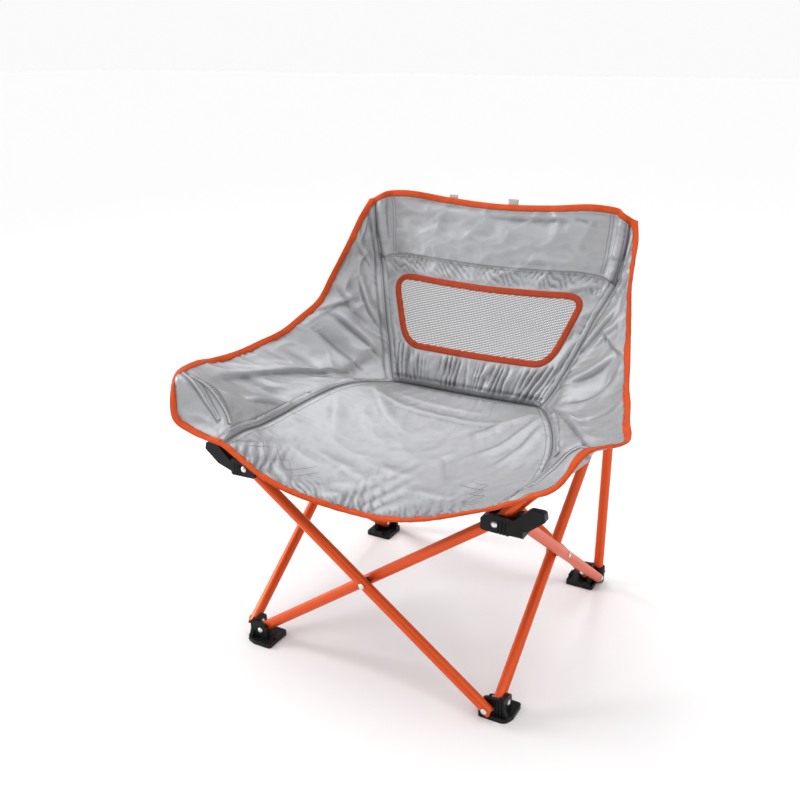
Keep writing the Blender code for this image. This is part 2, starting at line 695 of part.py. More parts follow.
def clear_of_pockets(grid):
    """Cloth points, moved out level where they would touch a back pocket."""
    away = np.stack((abs(grid[..., 0]), grid[..., 1]), axis=-1) - UPRIGHT_AT
    apart = np.linalg.norm(away, axis=-1)
    beside = (grid[..., 2] > BACK_POCKET_LOW - CLOTH * 10) & (grid[..., 2] < BACK_POCKET_HIGH + CLOTH)
    pushed = beside & (apart < POCKET_REACH)
    away[pushed] *= (POCKET_REACH / apart[pushed])[:, None]
    grid[..., 0] = np.sign(grid[..., 0]) * (UPRIGHT_AT + away[..., 0])
    grid[..., 1] = UPRIGHT_AT + away[..., 1]
    return grid


def round_pocket(turn, height):
    """A seam point against the wall of the right back pocket."""
    x, y = polar(POCKET_REACH, math.radians(turn))
    return np.array((UPRIGHT_AT + x, UPRIGHT_AT + y, height))


def back_rows():
    """Rows of the back, from the crease up to the top edge."""
    seam = [(0.130, 0.116, 0.342), (0.154, 0.135, 0.389), (0.169, 0.152, 0.426),
            (0.185, 0.172, 0.472), (0.194, 0.196, 0.527), (0.1960, 0.204, 0.575)]
    middle = [(0.118, 0.332), (0.141, 0.389), (0.156, 0.426), (0.172, 0.472),
              (0.194, 0.527), (0.208, 0.575)]
    top = whole_row([(0, 0.222, 0.622), (0.098, 0.2205, 0.627), (0.1965, 0.2085, 0.6265)])
    rows = dished_rows(seam, middle)
    for row, turn in ((rows[4], LEAVE_TURN), (rows[5], LEAVE_TURN - 18)):
        row[-1] = round_pocket(turn, row[-1][2])
        row[0] = row[-1] * (-1, 1, 1)
    return rows + [top]


def wing_lines(hand, seat, back):
    """Lines across a wing, from its top down and round to the front.

    Each one runs from the bound edge to the seam. The first stations of the seam
    pass round the pocket of the upright, then it follows the back panel down to
    the crease, and the seat from there to the front.
    """
    edge = [fitted(point) for point in (
        (0.236, 0.185, 0.597), (0.238, 0.172, 0.582), (0.241, 0.155, 0.560),
        (0.245, 0.133, 0.533), (0.254, 0.110, 0.499), (0.263, 0.086, 0.465),
        (0.275, 0.048, 0.444), (0.286, 0.010, 0.427), (0.300, -0.030, 0.418),
        (0.312, -0.073, 0.411), (0.326, -0.115, 0.409), (0.329, -0.155, 0.414),
        (0.306, -0.216, 0.421), (0.281, -0.249, 0.383), (0.246, -0.252, 0.362),
        (0.206, -0.254, 0.341))]
    longer = np.array((math.cos(POST_ANGLE), 0, math.sin(POST_ANGLE))) * (POST_LENGTH - PATTERN_POST)
    for index, share in ((9, 0.3), (10, 0.8), (11, 1), (12, 1), (13, 0.6)):
        edge[index] = edge[index] + longer * share
    crease, front = 7, 15
    leave = len(back) - 3
    shoulder = crease - leave

    def seam_at(index):
        if index < shoulder:
            share = index / shoulder
            height = BACK_POCKET_LOW + 0.063 * (1 - share)
            return round_pocket(SHOULDER_TURN + (LEAVE_TURN - SHOULDER_TURN) * share, height)
        if index < crease:
            return cross(back, (crease - index) / (len(back) - 1), 1)
        return cross(seat, (index - crease) / (front - crease), 1)

    middle = []
    for index, point in enumerate(edge):
        seam = seam_at(index)
        sag = 0.06 * np.linalg.norm(seam - point)
        middle.append((point + seam) / 2 - (0, 0, sag))
    depth = PIVOT_HALF + (INNER if hand > 0 else OUTER)
    out = (POST_LENGTH + 0.006) * math.cos(POST_ANGLE)
    for index, share in ((12, 0.90), (13, 0.63), (14, 0.36)):
        height = out * share * math.tan(POST_ANGLE) + CREST / math.cos(POST_ANGLE)
        middle[index] = np.array((PIVOT_HALF + out * share, -depth, HUB_PIN_Z + height))
    middle[front] = edge[front]
    lines = []
    for index in np.linspace(0, front - 0.25, 60):
        share = index / front
        points = [along(edge, share), along(middle, share), seam_at(index)]
        line = [along(points, part) for part in np.linspace(0, 1, 25)]
        lines.append(np.array(line) * (hand, 1, 1))
    return lines


def build_back(rows, cloth, mesh_cloth, tape):
    """Back panel, the mesh window in it and the binding over its top edge."""
    lines = fine_lines(rows)
    low, high = fitted((0, 0, WINDOW_LOW))[2], fitted((0, 0, WINDOW_HIGH))[2]
    cells = 12
    panel = patch(lines, 15, cells + 1, (SEAM_GAP, -BINDING_WIDTH - BINDING_GAP),
                  (SEAM_GAP, -SEAM_GAP))
    panel = clear_of_pockets(panel)
    heights = panel[:, 0, 2]
    first, last = int(np.argmin(abs(heights - low))), int(np.argmin(abs(heights - high)))
    margin = round((1 - WINDOW_SHARE) / 2 * cells)

    def in_window(i, j):
        return first <= i < last and margin <= j < cells - margin
    sheet("back_panel", panel, CLOTH, cloth, in_window)
    hole = panel[first:last + 1, margin:cells + 1 - margin]
    gap = 2 * SEAM_GAP
    sheet("mesh_window", patch(hole, 6, 11, (gap, -gap), (gap, -gap)), CLOTH, mesh_cloth)
    top = patch(lines[::-1], 2, cells + 1, (0, BINDING_WIDTH), (SEAM_GAP, -SEAM_GAP))
    sheet("top_binding", top, BINDING_THICK, tape)


def build_seat(rows, cloth, tape):
    """Seat panel and the binding of its front edge."""
    lines = fine_lines(rows)
    edge = BINDING_WIDTH + BINDING_GAP
    panel = patch(lines, 11, 15, (SEAM_GAP, -edge), (SEAM_GAP, -SEAM_GAP))
    sheet("seat_panel", panel, CLOTH, cloth)
    front = patch(lines[::-1], 2, 15, (0, BINDING_WIDTH), (SEAM_GAP, -SEAM_GAP))
    sheet("front_binding", front, BINDING_THICK, tape)


def build_wing(hand, name, seat, back, cloth, tape):
    """One wing, its binding from the top corner to the front, and its pockets."""
    lines = wing_lines(hand, seat, back)
    edge = BINDING_WIDTH + BINDING_GAP
    panel = patch(lines, 27, 10, (SEAM_GAP, -SEAM_GAP), (edge, -SEAM_GAP))
    sheet(f"{name}_wing", clear_of_pockets(panel), CLOTH, cloth)
    corner = [((0.1975, 0.2085, 0.6265), (0.1975, 0.2045, 0.6155)),
              ((0.2140, 0.2070, 0.6235), (0.2135, 0.2035, 0.6130)),
              ((0.2290, 0.2000, 0.6125), (0.2215, 0.1975, 0.6045))]
    band = [np.array([fitted(outer), fitted(inner)]) * (hand, 1, 1) for outer, inner in corner]
    band += list(patch(lines, 27, 2, (SEAM_GAP, -SEAM_GAP), (0, BINDING_WIDTH)))
    sheet(f"{name}_binding", band, BINDING_THICK, tape)


def pocket(length):
    """A cloth sleeve, closed at its far end, with its mouth at zero."""
    inside = TUBE_R + SEAT
    return turned([(inside, 0), (POCKET_R, 0), (POCKET_R, length - POCKET_WALL),
                   (POCKET_R - POCKET_WALL, length), (0, length),
                   (0, length - POCKET_WALL), (inside, length - POCKET_WALL)], ROUND, ring=True)


def build_pockets(cloth):
    """Sleeves that the uprights and the posts push up into."""
    sleeve = pocket(BACK_POCKET_HIGH - BACK_POCKET_LOW)
    post = pocket(POST_LENGTH + POCKET_SLACK + POCKET_WALL - WING_POCKET_START)
    for hand, name, layer in ((1, "right", INNER), (-1, "left", OUTER)):
        back = add_object(f"{name}_back_pocket", sleeve, cloth)
        back.location = (hand * UPRIGHT_AT, UPRIGHT_AT, BACK_POCKET_LOW)
        wing = add_object(f"{name}_wing_pocket", post, cloth)
        start = Vector(polar(WING_POCKET_START, POST_ANGLE))
        wing.location = (hand * (PIVOT_HALF + start.x), -(PIVOT_HALF + layer),
                         HUB_PIN_Z + start.y)
        wing.rotation_euler = (0, hand * (math.pi / 2 - POST_ANGLE), 0)


def build_sling(cloth, mesh_cloth, tape):
    """Seat, back, wings and pockets."""
    seat, back = seat_rows(), back_rows()
    build_seat(seat, cloth, tape)
    build_back(back, cloth, mesh_cloth, tape)
    build_wing(1, "right", seat, back, cloth, tape)
    build_wing(-1, "left", seat, back, cloth, tape)
    build_pockets(cloth)


def stand_on_origin():
    """Move the chair so that the origin is on the floor under its middle."""
    bpy.context.view_layer.update()
    graph = bpy.context.evaluated_depsgraph_get()
    points = []
    for item in bpy.data.objects:
        shape = item.evaluated_get(graph).to_mesh()
        points += [item.matrix_world @ vert.co for vert in shape.vertices]
    low = Vector(min(point[axis] for point in points) for axis in range(3))
    high = Vector(max(point[axis] for point in points) for axis in range(3))
    shift = Vector((-(low.x + high.x) / 2, -(low.y + high.y) / 2, -low.z))
    for item in bpy.data.objects:
        item.matrix_world = Matrix.Translation(shift) @ item.matrix_world


def main():
    clear_scene()
    tube_paint = material("orange_anodised", (0.80, 0.12, 0.02), 0.35, 0.6)
    moulding = material("black_nylon", (0.02, 0.02, 0.022), 0.5)
    pin_steel = material("pin_aluminium", (0.62, 0.62, 0.63), 0.3, 1.0)
    spacer_nylon = material("spacer_nylon", (0.05, 0.05, 0.05), 0.6)
    cloth = material("grey_ripstop", (0.62, 0.63, 0.66), 0.75)
    mesh_cloth = material("grey_mesh", (0.55, 0.56, 0.58), 0.85)
    tape = material("orange_tape", (0.62, 0.07, 0.02), 0.8)
    build_tubes(tube_paint)
    build_uprights(tube_paint, moulding)
    build_mouldings(moulding)
    build_pins(pin_steel, spacer_nylon)
    build_sling(cloth, mesh_cloth, tape)
    stand_on_origin()


main()
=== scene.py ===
# %% [markdown]
# # A low folding camp chair
# The chair has two kinds of parts. Tubes, corner mouldings and rivets are stiff, and come
# ready made as a fixed frame. The sling is cloth, and is sewn here, panel by panel, over
# that frame. Each step below starts with a few words on the real thing.

# %% Load the frame
import json
import math

import bmesh
import bpy
import numpy as np
from mathutils import Matrix, Vector


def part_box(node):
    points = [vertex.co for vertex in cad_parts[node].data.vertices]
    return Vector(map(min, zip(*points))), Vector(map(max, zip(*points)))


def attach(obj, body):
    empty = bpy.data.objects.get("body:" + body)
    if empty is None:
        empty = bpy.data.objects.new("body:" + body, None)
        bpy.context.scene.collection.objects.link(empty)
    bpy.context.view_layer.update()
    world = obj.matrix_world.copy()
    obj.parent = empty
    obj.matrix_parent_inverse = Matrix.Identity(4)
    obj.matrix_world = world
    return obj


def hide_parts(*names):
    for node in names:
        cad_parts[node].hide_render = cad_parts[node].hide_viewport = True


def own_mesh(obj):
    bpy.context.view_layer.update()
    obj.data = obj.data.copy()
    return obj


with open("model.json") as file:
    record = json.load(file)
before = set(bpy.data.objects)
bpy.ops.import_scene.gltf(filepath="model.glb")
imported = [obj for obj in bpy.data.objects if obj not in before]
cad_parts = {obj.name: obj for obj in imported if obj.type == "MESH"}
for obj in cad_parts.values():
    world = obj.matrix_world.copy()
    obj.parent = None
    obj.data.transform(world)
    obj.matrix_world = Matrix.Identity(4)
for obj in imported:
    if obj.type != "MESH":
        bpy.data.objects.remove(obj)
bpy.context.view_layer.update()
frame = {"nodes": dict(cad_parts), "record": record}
print("frame pieces:", len(frame["nodes"]))

# %% [markdown]
# The sling is laid out from the middle of the four corner pins, with the right half as
# pattern. That middle is found from the right upright, which stands as far to the side of
# it as behind it. Laying all cloth out from one found place keeps it on the poles.

# %% Where the middle is
UPRIGHT_AT = 0.2098       # an upright's axis, sideways and backwards from the middle


def middle_of(node):
    """The middle of a frame piece's box."""
    low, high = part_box(node)
    return (Vector(low) + Vector(high)) / 2


upright = middle_of("right_upright")
CENTRE = np.array((0.0, upright.y - UPRIGHT_AT, 0.0))
print("middle of the four corners is", round(float(CENTRE[1]), 4), "behind the origin")


def place(points):
    """Points given from the middle of the corners, in the frame's own metres."""
    return np.asarray(points, float) + CENTRE

# %% [markdown]
# ## Shader sums
# A finish is easier to read as a sum than as a web of nodes. `Signal` wraps one socket, and
# its operators add the Math nodes. `Finish` holds one material and adds any other node.

# %% Signals and finishes
class Signal:
    """One output socket that can stand in a sum."""

    def __init__(self, tree, socket):
        self.tree = tree
        self.socket = socket

    def math(self, operation, first, second=None):
        """One Math node on signals or plain numbers."""
        node = self.tree.nodes.new("ShaderNodeMath")
        node.operation = operation
        for slot, value in zip(node.inputs, (first, second)):
            if isinstance(value, Signal):
                self.tree.links.new(value.socket, slot)
            elif value is not None:
                slot.default_value = value
        return Signal(self.tree, node.outputs[0])

    def __add__(self, other):
        return self.math("ADD", self, other)

    def __sub__(self, other):
        return self.math("SUBTRACT", self, other)

    def __rsub__(self, other):
        return self.math("SUBTRACT", other, self)

    def __mul__(self, other):
        return self.math("MULTIPLY", self, other)

    def __pow__(self, other):
        return self.math("POWER", self, other)

    def __gt__(self, other):
        return self.math("GREATER_THAN", self, other)

    __radd__ = __add__
    __rmul__ = __mul__

    def wave(self):
        """The sine of a signal."""
        return self.math("SINE", self)

    def size(self):
        """A signal without its sign."""
        return self.math("ABSOLUTE", self)


class Finish:
    """A material, with the shader sockets set by name."""

    def __init__(self, name, **constants):
        self.material = bpy.data.materials.new(name)
        self.material.use_nodes = True
        self.tree = self.material.node_tree
        self.shader = self.tree.nodes["Principled BSDF"]
        for key, value in constants.items():
            socket = key.replace("_", " ").title().replace("Ior", "IOR")
            self.shader.inputs[socket].default_value = value

    def node(self, kind, settings, sockets, output=0):
        """Add a node: its settings first, then the values or links of its sockets."""
        node = self.tree.nodes.new(kind)
        for key, value in settings.items():
            if key == "stops":
                self.set_stops(node.color_ramp, value)
            else:
                setattr(node, key, value)
        for key, value in sockets.items():
            if isinstance(value, Signal):
                self.tree.links.new(value.socket, node.inputs[key])
            else:
                node.inputs[key].default_value = value
        return Signal(self.tree, node.outputs[output])

    def set_stops(self, ramp, stops):
        """Give a ramp its places and colours."""
        while len(ramp.elements) < len(stops):
            ramp.elements.new(1.0)
        for element, (spot, colour) in zip(ramp.elements, stops):
            element.position = spot
            element.color = (*colour, 1.0)

    def feed(self, name, signal):
        """Let a signal drive one socket of the shader."""
        self.tree.links.new(signal.socket, self.shader.inputs[name])

    def bump(self, height, distance):
        """Raise the surface by height, times a distance in metres."""
        self.feed("Normal", self.node("ShaderNodeBump", {}, {"Distance": distance, "Height": height}))

    def blend(self, share, first, second):
        """A colour between two colours."""
        ends = [end if isinstance(end, Signal) else (*end, 1.0) for end in (first, second)]
        return self.node("ShaderNodeMix", {"data_type": "RGBA"}, {0: share, 6: ends[0], 7: ends[1]}, 2)

    def noise(self, place, scale, detail=3.0, rough=0.55):
        """Soft random blotches, scale of them to a metre."""
        return self.node("ShaderNodeTexNoise", {}, {"Vector": place, "Scale": scale,
                                                    "Detail": detail, "Roughness": rough})

    def spot(self):
        """Where a point is on the object."""
        return self.node("ShaderNodeTexCoord", {}, {}, 3)

    def cut(self):
        """Where a point is on the flat cut cloth, in metres."""
        return self.node("ShaderNodeUVMap", {"uv_map": "cut"}, {})

    def parts(self, vector):
        """The three numbers of a vector."""
        split = self.node("ShaderNodeSeparateXYZ", {}, {0: vector})
        return [Signal(self.tree, out) for out in split.socket.node.outputs]

    def stretched(self, vector, scale):
        """A place with each of its numbers scaled."""
        return self.node("ShaderNodeMapping", {}, {"Vector": vector, "Scale": scale})

# %% [markdown]
# ## Camera, floor and light
# The chair stands on a pale floor that runs on out of sight. Most of the light is the sky's,
# brightest overhead as under a soft box, because that wraps round the cloth and needs no
# picture. Three lamps are added: a strong one from the left that models the folds, and two
# weak ones, from above and from the right, that pick out the tubes.

# %% Camera
def aim(item, target):
    """Turn a camera or a lamp to look at a place."""
    ahead = Vector(target) - item.location
    item.rotation_euler = ahead.to_track_quat("-Z", "Y").to_euler()


camera_data = bpy.data.cameras.new("camera")
camera_data.lens = 43.07
camera_data.sensor_width = 36.0
camera = bpy.data.objects.new("camera", camera_data)
camera.location = place((0.5993, -1.2088, 0.8578))
aim(camera, place((-0.0606, 0.0, 0.3503)))
bpy.context.scene.collection.objects.link(camera)
bpy.context.scene.camera = camera
print("camera", round((camera.location - upright).length, 2), "m from the right upright")

# %% Floor
FLOOR_REACH = 30            # from the middle to each side
floor_finish = Finish("pale_floor", base_color=(0.86, 0.855, 0.86, 1), roughness=0.7)
bm = bmesh.new()
bmesh.ops.create_grid(bm, x_segments=1, y_segments=1, size=FLOOR_REACH)
floor_mesh = bpy.data.meshes.new("floor")
bm.to_mesh(floor_mesh)
bm.free()
floor_mesh.materials.append(floor_finish.material)
floor = bpy.data.objects.new("floor", floor_mesh)
bpy.context.scene.collection.objects.link(floor)
print("floor", 2 * FLOOR_REACH, "m wide")

# %% Sky
# how bright the room is by height: pale round the horizon, dim walls, a soft box overhead
SKY_STRENGTH = 1.5
SKY_STOPS = [(0.0, 0.64), (0.16, 0.64), (0.34, 0.34), (0.68, 0.36), (0.86, 1.36), (1.0, 1.36)]
sky = bpy.data.worlds.new("studio")
sky.use_nodes = True
tree = sky.node_tree
heading = tree.nodes.new("ShaderNodeTexCoord")
upwards = tree.nodes.new("ShaderNodeSeparateXYZ")
bands = tree.nodes.new("ShaderNodeValToRGB")
while len(bands.color_ramp.elements) < len(SKY_STOPS):
    bands.color_ramp.elements.new(1.0)
for element, (height, shade) in zip(bands.color_ramp.elements, SKY_STOPS):
    element.position = height
    element.color = (shade, shade, shade, 1.0)
tree.links.new(heading.outputs["Generated"], upwards.inputs[0])
tree.links.new(upwards.outputs["Z"], bands.inputs[0])
tree.links.new(bands.outputs["Color"], tree.nodes["Background"].inputs["Color"])
tree.nodes["Background"].inputs["Strength"].default_value = SKY_STRENGTH
bpy.context.scene.world = sky
bpy.context.scene.view_settings.view_transform = "Standard"
print("sky of", len(SKY_STOPS), "bands")

# %% Lamps
def lamp(name, spot, target, power, size):
    """A round soft lamp: its place, what it looks at, its watts and its width."""
    data = bpy.data.lights.new(name, "AREA")
    data.energy = power
    data.shape = "DISK"
    data.size = size
    item = bpy.data.objects.new(name, data)
    item.location = place(spot)
    aim(item, place(target))
    bpy.context.scene.collection.objects.link(item)


lamp("light_above", (-0.5, 0.9, 2.1), (0, 0, 0.3), 8, 0.7)
lamp("light_left", (-2.4, -0.6, 1.3), (0, 0, 0.4), 34, 0.8)
lamp("light_right", (1.9, -0.7, 1.1), (0, 0, 0.2), 4, 0.4)

# %% [markdown]
# ## Finishes of the stiff parts
# The tubes are anodised a clear orange: a satin metal with very fine lines along the draw
# and a slightly darker, duller bloom where hands and dust go. The mouldings are nylon with
# a fine spark-eroded grain, worn smoother and paler on their edges. Rivets are bare metal.
# Painted pictures would need each part unwrapped and would blur up close, so noise in the
# part's own space varies each finish instead.

# %% Orange anodised tube
tube = Finish("orange_anodised", metallic=0.45, coat_weight=0.03, coat_roughness=0.25)
spot = tube.spot()
bloom = tube.noise(spot, 9.0, 4.0)
grain = tube.noise(tube.stretched(spot, (900, 900, 120)), 1.0, 2.0)
specks = tube.noise(spot, 420.0, 1.0) > 0.72
tube.feed("Base Color", tube.blend(bloom * 0.8 + specks * 0.12, (0.72, 0.084, 0.006), (0.58, 0.058, 0.004)))
tube.feed("Roughness", 0.27 + bloom * 0.14 + grain * 0.06)
tube.bump(grain, 0.00006)
print(tube.material.name, len(tube.tree.nodes), "nodes")

# %% Black nylon
nylon = Finish("black_nylon", specular_ior_level=0.16)
spot = nylon.spot()
pits = nylon.noise(spot, 1600.0, 2.0)
patches = nylon.noise(spot, 60.0, 4.0)
edges = nylon.node("ShaderNodeNewGeometry", {}, {}, 7)
worn = nylon.node("ShaderNodeValToRGB", {"stops": [(0.50, (0, 0, 0)), (0.58, (1, 1, 1))]}, {0: edges})
paler = patches * 0.4 + worn * 0.35
nylon.feed("Base Color", nylon.blend(paler, (0.003, 0.003, 0.0035), (0.014, 0.014, 0.015)))
nylon.feed("Roughness", 0.40 + patches * 0.2 - worn * 0.12)
nylon.bump(pits, 0.00012)
print(nylon.material.name, len(nylon.tree.nodes), "nodes")

# %% Bare rivets and plain nylon washers
rivet = Finish("rivet_metal", metallic=1.0)
spot = rivet.spot()
scuffs = rivet.noise(spot, 700.0, 3.0)
rivet.feed("Base Color", rivet.blend(scuffs, (0.82, 0.82, 0.83), (0.55, 0.55, 0.56)))
rivet.feed("Roughness", 0.2 + scuffs * 0.25)

washer = Finish("washer_nylon", roughness=0.6)
spot = washer.spot()
washer.feed("Base Color", washer.blend(washer.noise(spot, 500.0), (0.02, 0.02, 0.02), (0.05, 0.05, 0.05)))
print(rivet.material.name, "and", washer.material.name)

# %% Give each stiff part its finish
by_slot = {"tubes": tube, "mouldings": nylon, "cap": nylon, "pins": rivet, "spacer": washer}
stiff = [part for part in frame["record"]["subparts"] if part["material_slot"] in by_slot]
for part in stiff:
    mesh = frame["nodes"][part["node"]].data
    mesh.materials.clear()
    mesh.materials.append(by_slot[part["material_slot"]].material)
print("stiff parts finished:", len(stiff))

# %% [markdown]
# ## Finishes of the sling
# The cloth is a light polyester taffeta with a silvery coating: a plain weave far finer
# than a millimetre, a soft metallic sheen, and faint long slubs where a thicker yarn runs.
# Its pattern follows the cut of each panel, so every cloth piece carries a map of its flat
# cut in metres. Shade is painted into its colour, darker in creases and along seams, so
# each point of the cloth also carries how much painted shade it gets.

# %% Silver taffeta
YARN = 0.0009               # from one yarn to the next but one
cloth = Finish("silver_taffeta", metallic=0.4, specular_ior_level=0.3,
               specular_tint=(0.5, 0.5, 0.52, 1))
across, along, _ = cloth.parts(cloth.cut())
warp = (across * (math.tau / YARN)).wave()
weft = (along * (math.tau / YARN)).wave()
slubs = cloth.noise(cloth.stretched(cloth.cut(), (700, 9, 1)), 1.0, 2.0)
picks = cloth.noise(cloth.stretched(cloth.cut(), (9, 700, 1)), 1.0, 2.0)
mottle = cloth.noise(cloth.cut(), 14.0, 5.0, 0.6)
# painted shade: the colour is darkened towards near black where the cloth bends hollow and along seams
painted_crease_shade = cloth.node("ShaderNodeAttribute", {"attribute_name": "crease"}, {}, 2)
plain = cloth.blend(mottle * 0.5 + slubs * 0.25 + picks * 0.25, (0.47, 0.475, 0.49), (0.35, 0.355, 0.37))
cloth.feed("Base Color", cloth.blend(painted_crease_shade * 0.8, plain, (0.085, 0.087, 0.095)))
cloth.feed("Roughness", 0.33 + mottle * 0.15)
cloth.bump(warp * weft * 0.35 + slubs * 0.8 + picks * 0.8 + mottle * 1.5, 0.00012)
print(cloth.material.name, len(cloth.tree.nodes), "nodes")

# %% [markdown]
# The edge tape is a ribbed braid, dyed orange and a little faded in patches. Its ribs and
# yarns are two crossed waves over the flat cut, so they run true round every corner. One
# function makes both tapes, since only their colours differ.

# %% Orange edge tape, and the duller one round the window
RIB = 0.0011                # from one rib of the tape to the next
TAPE_YARN = 0.0007


def tape_finish(name, bright, faded):
    """Ribbed woven tape between two shades."""
    tape = Finish(name, specular_ior_level=0.25)
    across, along, _ = tape.parts(tape.cut())
    ribs = (along * (math.tau / RIB)).wave()
    yarns = (across * (math.tau / TAPE_YARN)).wave()
    fade = tape.noise(tape.cut(), 60.0, 4.0)
    tape.feed("Base Color", tape.blend(fade * 0.7 + ribs * 0.12, bright, faded))
    tape.feed("Roughness", 0.62 + fade * 0.2)
    tape.bump(ribs + yarns * 0.4 + fade, 0.00016)
    return tape


tape = tape_finish("orange_tape", (0.72, 0.086, 0.008), (0.50, 0.046, 0.005))
dark_tape = tape_finish("dull_red_tape", (0.60, 0.062, 0.007), (0.40, 0.034, 0.005))
print(tape.material.name, "and", dark_tape.material.name)

# %% [markdown]
# The window is a knitted mesh: slanting rows of small holes with round threads between
# them. Several thousand holes are too many to model, so the shader cuts them out, and the
# threads between them are a bump.

# %% Knitted mesh
HOLE_STEP = 0.0034          # from one hole to the next
knit = Finish("window_mesh", roughness=0.7, sheen_weight=0.3, sheen_roughness=0.5)
across, along, _ = knit.parts(knit.cut())
slant = (across + along * 0.62) * (math.pi / HOLE_STEP)
cross = (along * 0.95 - across * 0.30) * (math.pi / HOLE_STEP)
rows = slant.wave().size()
stitches = cross.wave().size()
thread = 1.0 - (1.0 - (1.0 - rows) ** 1.4) * (1.0 - (1.0 - stitches) ** 2.2)
holes = (rows * stitches) > 0.66
fuzz = knit.noise(knit.cut(), 900.0, 2.0)
paler = thread * 0.8 + fuzz * 0.2
knit.feed("Base Color", knit.blend(paler, (0.20, 0.205, 0.215), (0.42, 0.425, 0.435)))
knit.feed("Alpha", 1.0 - holes)
knit.bump(thread * 3.0 + fuzz, 0.0002)
print(knit.material.name, round(1 / HOLE_STEP), "holes to a metre")

# %% [markdown]
# The seams are sewn with a spun grey thread, and the tabs are a paler herringbone webbing.
# Both are small, so one noise, or one pair of crossed waves, is enough to break up their
# colour and their surface.

# %% Sewing thread and light webbing
sewing = Finish("grey_thread", roughness=0.6, sheen_weight=0.2, sheen_roughness=0.5)
spot = sewing.spot()
ply = sewing.noise(spot, 2500.0, 1.0)
sewing.feed("Base Color", sewing.blend(ply, (0.055, 0.057, 0.063), (0.12, 0.123, 0.13)))
sewing.bump(ply, 0.0001)

webbing = Finish("grey_webbing", roughness=0.75, sheen_weight=0.3, sheen_roughness=0.5)
across, along, _ = webbing.parts(webbing.cut())
ribs = math.tau / 0.0022    # slanting both ways, one every 2.2 mm
herring = ((across + along) * ribs).wave() * ((across - along) * ribs).wave()
webbing.feed("Base Color", webbing.blend(herring * 0.4 + 0.5, (0.56, 0.57, 0.59), (0.40, 0.41, 0.43)))
webbing.bump(herring, 0.0002)
print(sewing.material.name, "and", webbing.material.name)

# %% [markdown]
# ## Laying out cloth
# A cloth simulation could drape the sling, but its folds would fall where they like. So a
# panel is drawn as a few lines of points across it. Smooth curves through them make a fine
# net of points, and the net's own lengths are the flat cut. Folds, puckers and crumples are
# then heights, square to the cloth, written with numpy over that net.

# %% Smooth lines and nets
FINENESS = 16               # steps between two given points


def curve(points, count):
    """Even points on the smooth line through points."""
    points = np.asarray(points, float)
    ends = np.vstack([2 * points[0] - points[1], points, 2 * points[-1] - points[-2]])
    t = np.linspace(0, 1, FINENESS, endpoint=False)[:, None]
    pieces = []
    for p0, p1, p2, p3 in zip(ends, ends[1:], ends[2:], ends[3:]):
        pieces.append(0.5 * (2 * p1 + (p2 - p0) * t + (2 * p0 - 5 * p1 + 4 * p2 - p3) * t ** 2
                             + (3 * p1 - p0 - 3 * p2 + p3) * t ** 3))
    line = np.vstack(pieces + [points[-1:]])
    reach = lengths(line)
    at = np.linspace(0, reach[-1], count)
    return np.column_stack([np.interp(at, reach, line[:, k]) for k in range(3)])


def lengths(line):
    """How far along a line each of its points is."""
    return np.concatenate([[0], np.cumsum(np.linalg.norm(np.diff(line, axis=0), axis=1))])


def net_over(rows, down, across):
    """A net of points over lines that run across a panel."""
    lines = [curve(row, across) for row in rows]
    return np.stack([curve([line[j] for line in lines], down) for j in range(across)], axis=1)


def both_sides(half):
    """A line across the whole chair, from its right half."""
    half = np.asarray(half, float)
    return np.vstack([half[:0:-1] * (-1, 1, 1), half])


sample = both_sides([(0, 0, 0), (0.1, 0, 0), (0.2, 0, 0.1)])
print("a line of", len(sample), "points is", round(float(lengths(curve(sample, 50))[-1]), 3), "m long")

# %% Panels
# painted shade: a crease bent about this sharply gets the full painted shade of a hollow bend
DEEPEST = 170               # the bend of the deepest crease, as 1 over its radius


